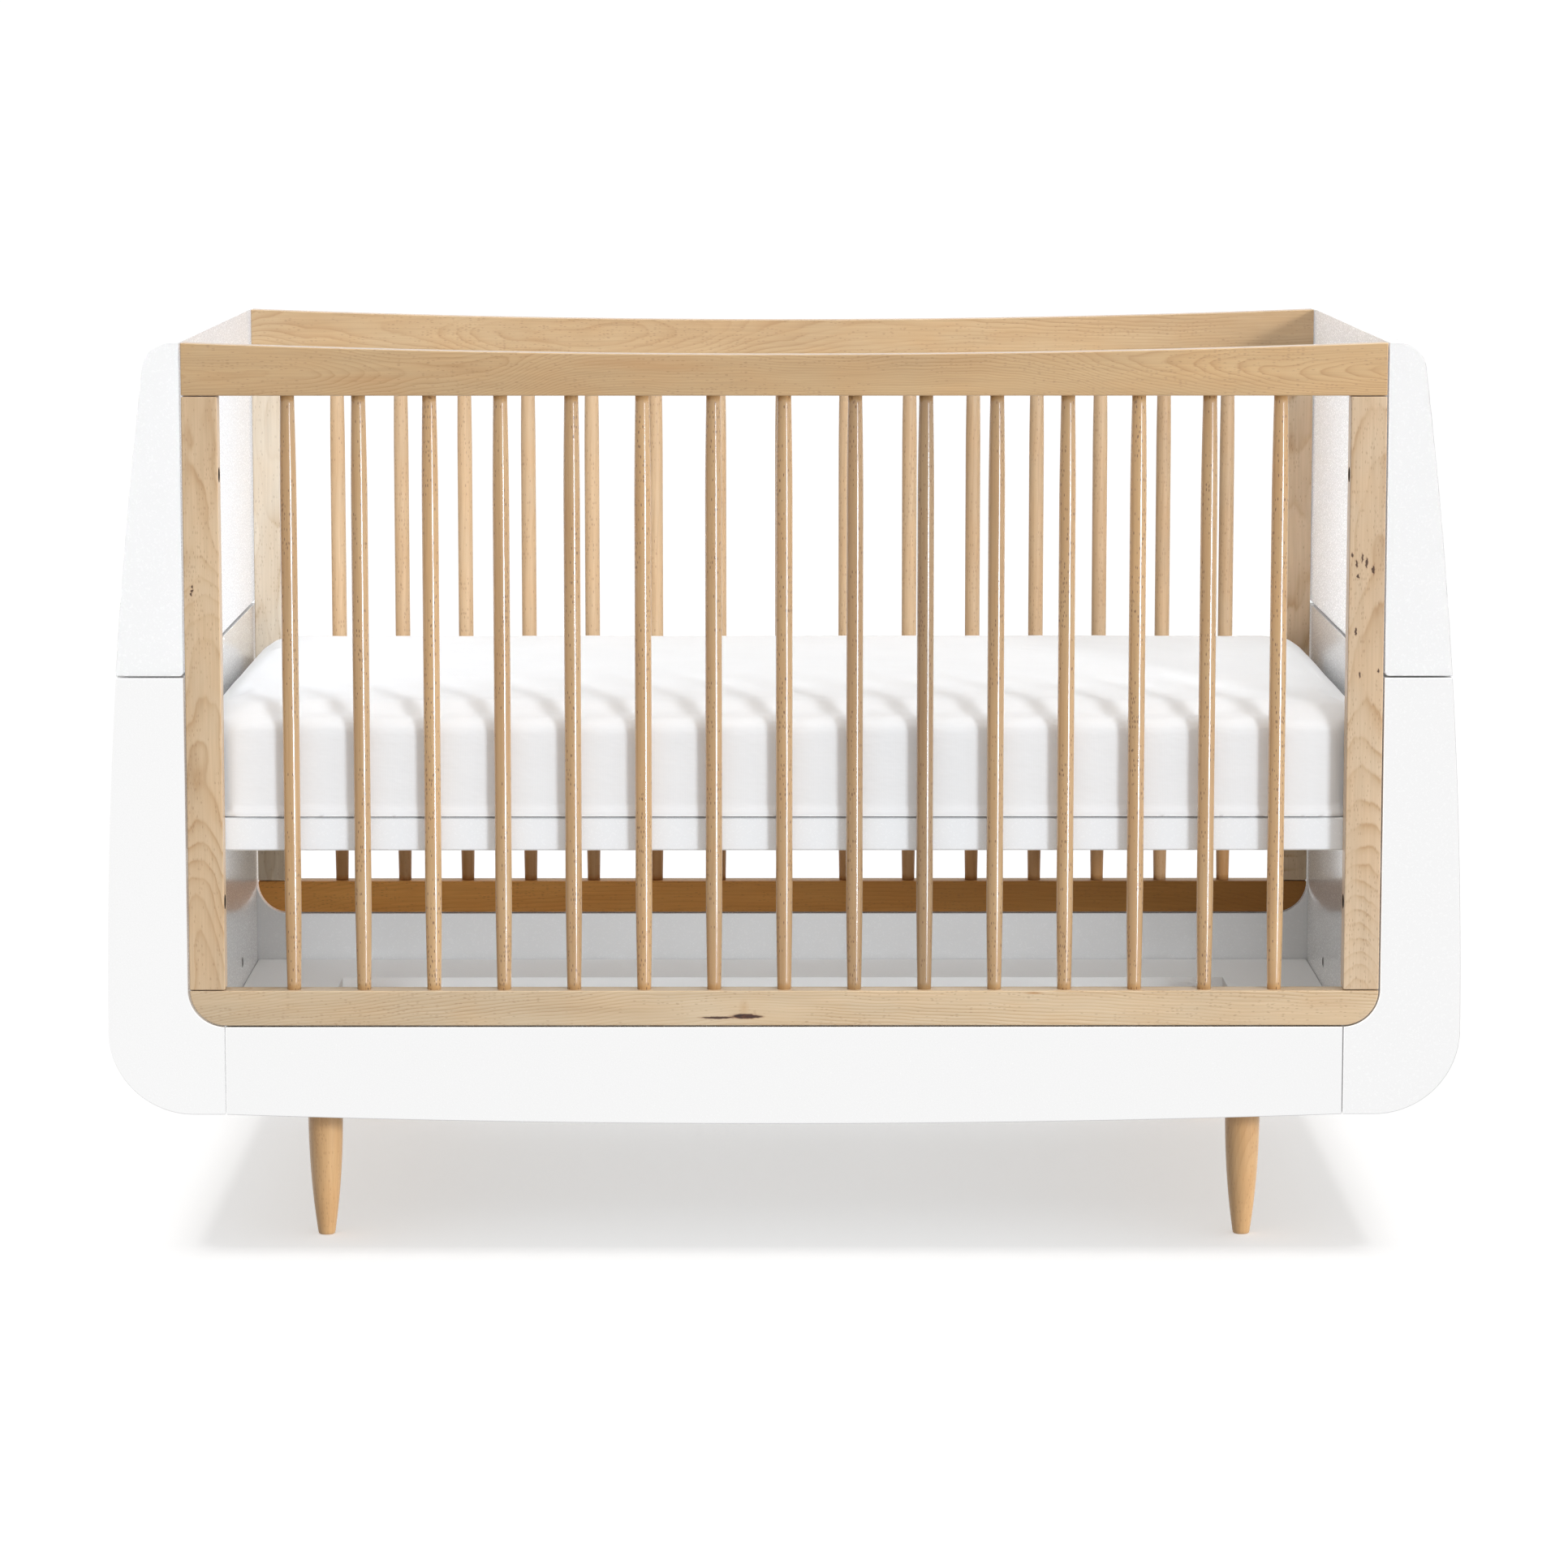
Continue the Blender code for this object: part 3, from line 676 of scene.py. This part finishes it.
def bow(z_start, z_end):
    heights = [z_start + (z_end - z_start) * step / BOW_STEPS for step in range(BOW_STEPS + 1)]
    return [(bow_x(z), z) for z in heights]


def foot_corner(x_end):
    """The big corner under the end, from the bow in to x_end."""
    centre = (HALF_LENGTH - FOOT_RADIUS, FOOT_CENTRE_Z)
    last = math.degrees(math.acos((x_end - centre[0]) / FOOT_RADIUS))
    return arc(centre, FOOT_RADIUS, 0.0, -last, CORNER_STEPS)[1:]


def cheek_outline():
    """The right end's lower cheek: bowed outside, cut to the side's rounded corner inside."""
    apron_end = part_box("front_apron")[1].x
    side_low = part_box("front_bottom_rail")[0]
    corner = (END_INNER_X - SEAM - SIDE_CORNER, side_low.z + SIDE_CORNER)
    clearance = SIDE_CORNER + SEAM
    foot_x = apron_end + SEAM
    first = -math.degrees(math.acos((foot_x - corner[0]) / clearance))
    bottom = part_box("right_lower_front_cheek")[0].z
    outline = [(END_INNER_X, SPLIT_LOW)]
    outline += bow(SPLIT_LOW, FOOT_CENTRE_Z)
    outline += foot_corner(HALF_LENGTH - FOOT_RADIUS)
    outline.append((foot_x, bottom))
    return outline + arc(corner, clearance, first, 0.0, CORNER_STEPS)


def build_end(label, hand):
    """Two lower cheeks, the shell between them and the upper casing; hand is -1 left, 1 right."""
    outline = mirrored(cheek_outline(), hand)
    for place in ("front", "rear"):
        name = f"{label}_lower_{place}_cheek"
        low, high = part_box(name)
        cheek = add_piece(f"{name}_board", slab_shape(outline, low.y, high.y), WHITE, "carcass",
                          [name])
        soften(cheek, LACQUER_EDGE)
    shell = f"{label}_lower_shell"
    low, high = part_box(shell)
    skin_outline = [(END_INNER_X, SPLIT_LOW)] + bow(SPLIT_LOW, FOOT_CENTRE_Z) + foot_corner(END_INNER_X)
    skin = add_piece(f"{shell}_skin", slab_shape(mirrored(skin_outline, hand), low.y, high.y), WHITE_GLOSS,
                     "carcass", [shell])
    soften(skin, SHELL_EDGE, 2, 60.0)
    casing = f"{label}_upper_casing"
    low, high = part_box(casing)
    seam_z = SPLIT_HIGH + SHADOW_GAP
    corner = (END_INNER_X + SPLIT_CORNER, seam_z + SPLIT_CORNER)
    upper = arc(corner, SPLIT_CORNER, 270.0, 180.0, SPLIT_STEPS)
    upper.append((END_INNER_X, TOP))
    shoulder_x = bow_x(SHOULDER_Z) - SHOULDER_RADIUS
    upper += arc((shoulder_x, SHOULDER_Z), SHOULDER_RADIUS, 90.0, 0.0, SHOULDER_STEPS)
    upper += bow(SHOULDER_Z, seam_z)[1:]
    piece = add_piece(f"{casing}_box", slab_shape(mirrored(upper, hand), low.y, high.y), WHITE,
                      f"{label}_upper_end", [casing])
    soften(piece, LACQUER_EDGE)


# ------------------------ sides

def hollowed_edge(half_length, z_end, z_middle):
    """A long parabola from z_end at both ends to z_middle."""
    shares = [2 * step / RAIL_STEPS - 1 for step in range(RAIL_STEPS + 1)]
    return [(half_length * share, z_middle + (z_end - z_middle) * share ** 2) for share in shares]


def build_rails(label, top_finish, bottom_finish):
    """A side's top rail with its dipped upper edge, and its bottom rail with rounded lower corners."""
    body = f"{label}_side"
    low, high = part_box(f"{label}_top_rail")
    end = high.x - SHADOW_GAP
    outline = [(end, low.z), (-end, low.z)] + hollowed_edge(end, high.z, high.z - TOP_RAIL_SAG)
    soften(add_piece(f"{label}_top_rail_board", slab_shape(outline, low.y, high.y), top_finish, body,
                     [f"{label}_top_rail"]), WOOD_EDGE)
    low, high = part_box(f"{label}_bottom_rail")
    corner = (END_INNER_X - SEAM - SIDE_CORNER, low.z + SIDE_CORNER)
    radius = SIDE_CORNER - SHADOW_GAP
    last = -math.degrees(math.asin((corner[1] - high.z) / radius))
    right = arc(corner, radius, -90.0, last, CORNER_STEPS)
    outline = right + [(-x, z) for x, z in reversed(right)]
    soften(add_piece(f"{label}_bottom_rail_board", slab_shape(outline, low.y, high.y), bottom_finish, body,
                     [f"{label}_bottom_rail"]), WOOD_EDGE)


def drill(piece, places):
    """Cuts the bolt holes into a stile's inner edge and keeps the result as plain mesh."""
    cutter_shape = bmesh.new()
    for place in places:
        turn = Matrix.Translation(place) @ Matrix.Rotation(math.pi / 2, 4, "Y")
        bmesh.ops.create_cone(cutter_shape, cap_ends=True, segments=BOLT_HOLE_SIDES, radius1=BOLT_HOLE_RADIUS,
                              radius2=BOLT_HOLE_RADIUS, depth=2 * BOLT_HOLE_DEPTH, matrix=turn)
    mesh = bpy.data.meshes.new("drill")
    cutter_shape.to_mesh(mesh)
    cutter_shape.free()
    cutter = bpy.data.objects.new("drill", mesh)
    bpy.context.scene.collection.objects.link(cutter)
    boolean = piece.modifiers.new("drilled", "BOOLEAN")
    boolean.operation = "DIFFERENCE"
    boolean.object = cutter
    boolean.material_mode = "TRANSFER"
    # The hole's walls get the near black painted shade
    mesh.materials.append(HOLE_SHADE)
    bake(piece)
    bpy.data.objects.remove(cutter, do_unlink=True)


def bolt_head(name, place, facing_x, body):
    """A countersunk hex-socket bolt head, seen down its drilled hole."""
    shape = bmesh.new()
    rings = []
    for radius, rise, hexed in ((BOLT_HEAD_RADIUS, -BOLT_HEAD_DEPTH, False),
                                (BOLT_HEAD_RADIUS, -BOLT_HEAD_ROUNDING, False),
                                (BOLT_HEAD_RADIUS - BOLT_HEAD_ROUNDING, 0.0, False),
                                (SOCKET_RADIUS, 0.0, True), (SOCKET_RADIUS, -SOCKET_DEPTH, True)):
        ring = []
        for side in range(BOLT_SIDES):
            angle = 2 * math.pi * side / BOLT_SIDES
            sector = (angle % (math.pi / 3)) - math.pi / 6
            reach = radius / math.cos(sector) if hexed else radius
            ring.append(shape.verts.new((facing_x * rise, reach * math.cos(angle), reach * math.sin(angle))))
        rings.append(ring)
    close_rings(shape, rings)
    bmesh.ops.translate(shape, verts=shape.verts, vec=place)
    add_piece(name, shape, STEEL, body)


def build_stile(label, hand_label, hand, finish):
    """A side's upright, with its two bolts down their drilled holes in its inner edge."""
    name = f"{label}_{hand_label}_stile"
    body = f"{label}_side"
    low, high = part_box(name)
    near_x, far_x = (low.x, high.x - SHADOW_GAP) if hand > 0 else (low.x + SHADOW_GAP, high.x)
    bottom, top = low.z + SHADOW_GAP, high.z - SHADOW_GAP
    outline = [(near_x, bottom), (far_x, bottom), (far_x, top), (near_x, top)]
    piece = add_piece(f"{name}_board", slab_shape(outline, low.y, high.y), finish, body, [name])
    soften(piece, WOOD_EDGE)
    inner_x = low.x if hand > 0 else high.x
    middle_y = (low.y + high.y) / 2
    places = [Vector((inner_x, middle_y, height)) for height in BOLT_HEIGHTS]
    drill(piece, places)
    for number, place in enumerate(places):
        seat = place + Vector((hand * BOLT_SEAT, 0.0, 0.0))
        bolt_head(f"{name}_bolt_{number + 1}", seat, -hand, body)


def spindle_profile(radius, bottom, top):
    """Straight in the middle, easing down to a slimmer neck at each end."""
    lower = []
    for step in range(SPINDLE_STEPS + 1):
        part = step / SPINDLE_STEPS
        ease = 1.0 - (1.0 - part) ** SPINDLE_EASE
        lower.append((radius * (SPINDLE_END + (1.0 - SPINDLE_END) * ease), bottom + SPINDLE_TAPER * part))
    upper = [(reach, top - (height - bottom)) for reach, height in reversed(lower)]
    return lower + upper


def build_spindles(label, finish):
    body = f"{label}_side"
    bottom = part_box(f"{label}_bottom_rail")[1].z
    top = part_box(f"{label}_top_rail")[0].z
    names = sorted(name for name in frame["record"]["behaviour"]["bodies"][body] if "spindle" in name)
    for name in names:
        low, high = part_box(name)
        middle = (low + high) / 2
        profile = spindle_profile((high.y - low.y) / 2, bottom, top)
        add_piece(f"{name}_turned", lathe_shape(profile, SPINDLE_SIDES, (middle.x, middle.y)), finish,
                  body, [name])


# ------------------------ aprons, legs, base

def build_apron(name):
    """A white board whose lower edge bows down to the middle."""
    low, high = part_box(name)
    outline = [(high.x, high.z), (low.x, high.z)]
    outline += hollowed_edge(high.x, low.z + APRON_BOW, low.z)
    soften(add_piece(f"{name}_board", slab_shape(outline, low.y, high.y), WHITE, "carcass",
                     [name]), LACQUER_EDGE)


def build_leg(name):
    """A turned leg that swells from its small foot to its full radius at the top."""
    low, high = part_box(name)
    middle = (low + high) / 2
    top_radius = (high.x - low.x) / 2
    profile = [(LEG_FOOT_RADIUS - LEG_FOOT_CHAMFER, low.z), (LEG_FOOT_RADIUS, low.z + LEG_FOOT_CHAMFER)]
    for ring in range(1, LEG_RINGS + 1):
        rise = ring / LEG_RINGS
        radius = top_radius - (top_radius - LEG_FOOT_RADIUS) * (1.0 - rise) ** LEG_TAPER_POWER
        profile.append((radius, low.z + (high.z - low.z) * rise))
    piece = add_piece(f"{name}_turned", lathe_shape(profile, LEG_SIDES, (middle.x, middle.y)), BEECH_LEG,
                      "carcass", [name])
    soften(piece, LEG_EDGE, 1, 50.0)


def finish_node(name, material):
    """Gives a CAD node that stays in view its material."""
    part = frame["nodes"][name]
    part.data.materials.clear()
    part.data.materials.append(material)


def insert_shape(outer, inner, proud, hand, centre):
    """A thin disc standing proud of an end's inner face, or a ring if it has an inner radius."""
    shape = bmesh.new()
    rings = [[shape.verts.new((0.0, y, z)) for y, z in circle((0.0, 0.0), radius, INSERT_SIDES)]
             for radius in (outer, inner) if radius]
    if inner:
        bridge(shape, *rings)
    else:
        shape.faces.new(rings[0])
    solid = bmesh.ops.extrude_face_region(shape, geom=list(shape.faces))
    moved = [item for item in solid["geom"] if isinstance(item, bmesh.types.BMVert)]
    bmesh.ops.translate(shape, verts=moved, vec=(-hand * proud, 0.0, 0.0))
    bmesh.ops.recalc_face_normals(shape, faces=shape.faces)
    bmesh.ops.translate(shape, verts=shape.verts, vec=centre)
    return shape


def build_inserts():
    """Threaded inserts for the platform bolts at its lowest setting."""
    for hand_label, hand in (("left", -1), ("right", 1)):
        for place_label, facing in (("front", -1), ("rear", 1)):
            centre = Vector((hand * END_INNER_X, facing * INSERT_SPREAD, INSERT_HEIGHT))
            for part, outer, inner, proud, finish in INSERT_PARTS:
                piece = add_piece(f"{hand_label}_{place_label}_insert_{part}",
                                  insert_shape(outer, inner, proud, hand, centre), finish, "carcass")
                piece.data.set_sharp_from_angle(angle=math.radians(40))


# ------------------------ mattress

def mattress_cage():
    """The foam's block: rounded in plan, softened round its top edge."""
    low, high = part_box("mattress")
    half_x = high.x - MATTRESS_INSET
    half_y = high.y + OVERHANG
    outline = []
    for start, side_x, side_y in ((0, 1, 1), (90, -1, 1), (180, -1, -1), (270, 1, -1)):
        centre = (side_x * (half_x - MATTRESS_CORNER), side_y * (half_y - MATTRESS_CORNER))
        outline += arc(centre, MATTRESS_CORNER, start, start + 90, MATTRESS_CORNER_STEPS)
    shape = bmesh.new()
    lower = [shape.verts.new((x, y, low.z)) for x, y in outline]
    upper = [shape.verts.new((x, y, high.z - MATTRESS_DROP)) for x, y in outline]
    shape.faces.new(list(reversed(lower)))
    shape.faces.new(upper)
    bridge(shape, lower, upper)
    bmesh.ops.recalc_face_normals(shape, faces=shape.faces)
    rims = [edge for edge in shape.edges if min(vert.co.z for vert in edge.verts) > (low.z + high.z) / 2]
    bmesh.ops.bevel(shape, geom=rims, offset=MATTRESS_EDGE, segments=5, affect="EDGES", profile=0.55)
    return shape


def remeshed(piece):
    remesh = piece.modifiers.new("remesh", "REMESH")
    remesh.mode = "VOXEL"
    remesh.voxel_size = MATTRESS_VOXEL
    bake(piece)


def capped(value, limit):
    return max(-limit, min(limit, value))


def inflate(piece, floor_z):
    """Blows the cover out a little under cloth simulation, then holds it near the foam's shape."""
    start = [vert.co.copy() for vert in piece.data.vertices]
    pinned = piece.vertex_groups.new(name="base")
    base = [index for index, place in enumerate(start) if place.z < floor_z + PINNED_HEIGHT]
    pinned.add(base, 1.0, "REPLACE")
    cloth = piece.modifiers.new("cloth", "CLOTH")
    settings = cloth.settings
    settings.quality = 4
    settings.mass = 0.25
    settings.tension_stiffness = 12.0
    settings.compression_stiffness = 12.0
    settings.bending_stiffness = 0.4
    settings.use_pressure = True
    settings.uniform_pressure_force = 4.0
    settings.vertex_group_mass = "base"
    settings.effector_weights.gravity = 0.0
    scene = bpy.context.scene
    for step in range(1, CLOTH_STEPS + 1):
        scene.frame_set(step)
    bake(piece)
    scene.frame_set(1)
    for vert, origin in zip(piece.data.vertices, start):
        shift = vert.co - origin
        vert.co = origin + Vector((capped(shift.x, SIDE_CAP), capped(shift.y, SIDE_CAP),
                                   capped(shift.z, TOP_CAP)))


def build_mattress():
    """One padded pad in a jersey cover."""
    low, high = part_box("mattress")
    mesh = bpy.data.meshes.new("mattress_pad")
    shape = mattress_cage()
    shape.to_mesh(mesh)
    shape.free()
    piece = bpy.data.objects.new("mattress_pad", mesh)
    bpy.context.scene.collection.objects.link(piece)
    remeshed(piece)
    inflate(piece, low.z)
    crown(piece, low, high)
    smooth = piece.modifiers.new("smooth", "SUBSURF")
    smooth.levels = 1
    smooth.render_levels = 1
    bake(piece)
    square_foot(piece, low, high)
    piece.data.shade_smooth()
    piece.data.materials.clear()
    piece.data.materials.append(COTTON)
    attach(piece, "mattress")
    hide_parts("mattress")


def square_foot(piece, low, high):
    """Presses the bottom rim out to the mattress's outline, where its weight squares it off."""
    half_x, half_y = high.x - FOOT_INSET, high.y + FOOT_OVERHANG
    for vert in piece.data.vertices:
        x, y, z = vert.co
        if z > low.z + FOOT_BAND:
            continue
        over_x = abs(x) - (half_x - MATTRESS_CORNER)
        over_y = abs(y) - (half_y - MATTRESS_CORNER)
        if over_x > 0.0 and over_y > 0.0:
            reach = math.hypot(over_x, over_y)
            if MATTRESS_CORNER - reach < FOOT_DEPTH:
                scale = MATTRESS_CORNER / reach
                vert.co.x = math.copysign(half_x - MATTRESS_CORNER + over_x * scale, x)
                vert.co.y = math.copysign(half_y - MATTRESS_CORNER + over_y * scale, y)
        elif half_x - abs(x) < FOOT_DEPTH:
            vert.co.x = math.copysign(half_x, x)
        elif half_y - abs(y) < FOOT_DEPTH:
            vert.co.y = math.copysign(half_y, y)
        else:
            continue
        vert.co.z = max(low.z, z - FOOT_PRESS * (1.0 - (z - low.z) / FOOT_BAND))


def crown(piece, low, high):
    """A soft rise to the middle of the top, slight tension folds at the corners, a little give elsewhere."""
    half_x, half_y = high.x, high.y
    for vert in piece.data.vertices:
        x, y, z = vert.co
        height = (z - low.z) / (high.z - low.z)
        if height > CROWN_FROM:
            fall = max(0.0, 1.0 - (x / half_x) ** 4) * max(0.0, 1.0 - (y / half_y) ** 4)
            vert.co.z += CROWN_RISE * fall * (height - CROWN_FROM) / (1.0 - CROWN_FROM)
            vert.co.z += CROWN_NOISE * noise.noise(Vector((x * 7.0, y * 9.0, 0.3)))
        near_x = max(0.0, (abs(x) - half_x + FOLD_REACH) / FOLD_REACH)
        near_y = max(0.0, (abs(y) - half_y + FOLD_REACH) / FOLD_REACH)
        corner = near_x * near_y
        if corner > 0.0 and height < FOLD_TOP:
            around = math.atan2(abs(y) - half_y + 0.05, abs(x) - half_x + 0.05)
            fold = math.sin(around * 16.0 + 3.0 * noise.noise(Vector((x * 20.0, y * 20.0, z * 9.0))))
            inward = Vector((-math.copysign(1.0, x), -math.copysign(1.0, y), 0.0))
            vert.co += inward * (FOLD_DEPTH * corner * (1.0 + fold))


# ------------------------ assembly

for hand_label, hand in (("left", -1), ("right", 1)):
    build_end(hand_label, hand)
build_rails("front", BEECH_FRONT_TOP, BEECH_BOTTOM)
build_rails("rear", BEECH_REAR_TOP, BEECH_REAR_BOTTOM)
for side_label in ("front", "rear"):
    build_stile(side_label, "left", -1, BEECH_LEFT_STILE if side_label == "front" else BEECH_REAR_LEFT_STILE)
    build_stile(side_label, "right", 1, BEECH_RIGHT_STILE)
    build_spindles(side_label, BEECH_SPINDLE if side_label == "front" else BEECH_REAR_SPINDLE)
build_apron("front_apron")
build_apron("rear_apron")
for leg_name in ("front_left_leg", "front_right_leg", "rear_left_leg", "rear_right_leg"):
    build_leg(leg_name)
build_inserts()
for node_name in ("platform_front_rail", "platform_rear_rail"):
    finish_node(node_name, WHITE_PLATFORM)
for node_name in ("platform_deck", "floor_board"):
    finish_node(node_name, BOARD)
for node_name in ("left_leg_rail", "right_leg_rail"):
    finish_node(node_name, BEECH_CROSS)
build_mattress()


# ------------------------ floor, light and camera

def build_floor():
    """A white studio floor with a faint glow of its own, which matt surfaces don't pick up."""
    material, tree, shader = blank("studio_floor")
    place = object_place(tree)
    cloud = noise_value(tree, place, (2.0, 2.0, 2.0), 2.0)
    colour = ramp(tree, cloud, [(0.3, (0.895,) * 3), (0.7, (0.905,) * 3)])
    wire(tree, shader, {"Base Color": colour, "Roughness": 0.9, "Specular IOR Level": 0.0,
                        "Emission Color": (1.0, 1.0, 1.0, 1.0), "Emission Strength": FLOOR_GLOW})
    shape = bmesh.new()
    bmesh.ops.create_grid(shape, x_segments=1, y_segments=1, size=FLOOR_REACH)
    mesh = bpy.data.meshes.new("studio_floor")
    shape.to_mesh(mesh)
    shape.free()
    mesh.materials.append(material)
    floor = bpy.data.objects.new("studio_floor", mesh)
    floor.visible_diffuse = False
    bpy.context.scene.collection.objects.link(floor)


def build_world(seen, in_gloss, lighting):
    """A plain white studio: seen, mirrored in gloss, and lighting matt surfaces, each at its strength."""
    world = bpy.data.worlds.new("studio")
    world.use_nodes = True
    world.cycles.sampling_method = "NONE"
    tree = world.node_tree
    rays = node(tree, "ShaderNodeLightPath")
    glossy = remap(tree, rays.outputs["Is Glossy Ray"], 0.0, 1.0, lighting, in_gloss)
    strength = node(tree, "ShaderNodeMix", {0: rays.outputs["Is Camera Ray"], 2: glossy, 3: seen}).outputs[0]
    wire(tree, tree.nodes["Background"], {"Color": (1.0, 1.0, 1.0, 1.0), "Strength": strength})
    bpy.context.scene.world = world


def grouped(name, members):
    """A collection for light linking, outside the scene."""
    group = bpy.data.collections.new(name)
    for member in members:
        group.objects.link(member)
    return group


def build_sun(name, azimuth, elevation, spread, strength, lit, blockers=(), shadow=True, tint=PURE):
    """A sun lamp on chosen pieces: azimuth 0 shines from the front, 90 from the right."""
    lamp = bpy.data.lights.new(name, "SUN")
    lamp.energy = strength
    lamp.color = tint
    lamp.angle = math.radians(spread)
    lamp.use_shadow = shadow
    sun = bpy.data.objects.new(name, lamp)
    bpy.context.scene.collection.objects.link(sun)
    turn, lift = math.radians(azimuth), math.radians(elevation)
    towards = Vector((math.sin(turn) * math.cos(lift), -math.cos(turn) * math.cos(lift), math.sin(lift)))
    sun.rotation_mode = "QUATERNION"
    sun.rotation_quaternion = towards.to_track_quat("Z", "Y")
    sun.light_linking.receiver_collection = grouped(f"{name}_lights", lit)
    if blockers:
        sun.light_linking.blocker_collection = grouped(f"{name}_blockers", blockers)


def pieces(*words):
    """Shown pieces whose name holds any of the words."""
    return [piece for piece in bpy.data.objects
            if piece.type == "MESH" and not piece.hide_render and any(word in piece.name for word in words)]


def build_camera():
    camera = bpy.data.objects.new("camera", bpy.data.cameras.new("camera"))
    camera.data.lens = CAMERA_LENS
    camera.data.sensor_width = 36.0
    camera.data.clip_end = 200.0
    camera.location = CAMERA_PLACE
    camera.rotation_euler = (math.radians(CAMERA_TILT), 0.0, math.radians(CAMERA_TURN))
    bpy.context.scene.collection.objects.link(camera)
    bpy.context.scene.camera = camera


EVERY_PIECE = pieces("")
ENDS = pieces("cheek_board", "casing", "lower_shell")
BETWEEN_ENDS = [piece for piece in EVERY_PIECE if piece not in ENDS]
REAR_LIT = pieces("rear_spindle", "rear_left_stile")
SPINDLES = pieces("front_spindle")
WOODEN = [piece for piece in pieces("rail_board", "stile_board", "turned", "leg_rail", "bolt")
          if piece not in REAR_LIT + SPINDLES]
BASE = pieces("mattress", "platform")
WHITE_FRONTS = pieces("cheek_board", "casing", "apron")
LEGS = pieces("leg_turned")

build_floor()
FLOOR = pieces("studio_floor")
build_world(seen=1.05, in_gloss=1.0, lighting=0.55)

# Each sun: name, azimuth, elevation and spread in degrees, strength, the pieces it lights and, where
# only some pieces cast its shadows, those pieces
build_sun("overhead", 5.0, 82.0, 40.0, 1.3, EVERY_PIECE)
build_sun("overhead_on_floor", 180.0, 87.0, 12.0, 0.80, FLOOR, BETWEEN_ENDS)
build_sun("key_on_wood", 38.0, 16.0, 9.0, 1.5, WOODEN)
build_sun("side_on_wood", 74.0, 20.0, 30.0, 1.3, WOODEN)
build_sun("key_on_rear_wood", 30.0, 16.0, 9.0, 2.3, pieces("rear_spindle"), BASE, tint=COOL)
build_sun("key_on_rear_left_stile", 55.0, 28.0, 5.0, 3.4, pieces("rear_left_stile"), BASE, tint=COOL)
build_sun("key_on_cloth", 27.0, 12.0, 11.0, 1.30, BASE, tint=MILD)
build_sun("front_on_white", -35.0, 45.0, 20.0, 2.2, WHITE_FRONTS)
build_sun("front_on_left_shell", -35.0, 45.0, 20.0, 2.2, pieces("left_lower_shell"))
build_sun("low_fill", 8.0, 12.0, 30.0, 2.3, pieces("lower_shell"))
build_sun("low_fill_behind", 8.0, 12.0, 30.0, 1.95, pieces("rear_apron", "floor_board"), tint=MILD)
build_sun("floor_board_fill", 0.0, 60.0, 10.0, 0.55, pieces("floor_board"), shadow=False)
build_sun("left_upper_inside", 88.0, 15.0, 10.0, 1.6, pieces("left_upper_casing"), shadow=False, tint=COOL)
build_sun("right_upper_inside", -88.0, 15.0, 10.0, 0.45, pieces("right_upper_casing"), shadow=False,
          tint=COOL)
build_sun("left_lower_inside", 88.0, 15.0, 10.0, 1.1, pieces("left_lower"), shadow=False)
build_sun("right_lower_inside", -88.0, 15.0, 10.0, 0.35, pieces("right_lower"), shadow=False)
build_sun("key_on_legs", 50.0, 6.0, 20.0, 1.4, LEGS)
build_sun("key_on_spindles", 38.0, -6.5, 8.0, 1.5, SPINDLES, shadow=False, tint=COOL)
build_sun("side_on_spindles", 90.0, -4.0, 40.0, 1.0, SPINDLES, shadow=False, tint=COOL)
build_camera()
bpy.context.scene.view_settings.view_transform = "Standard"
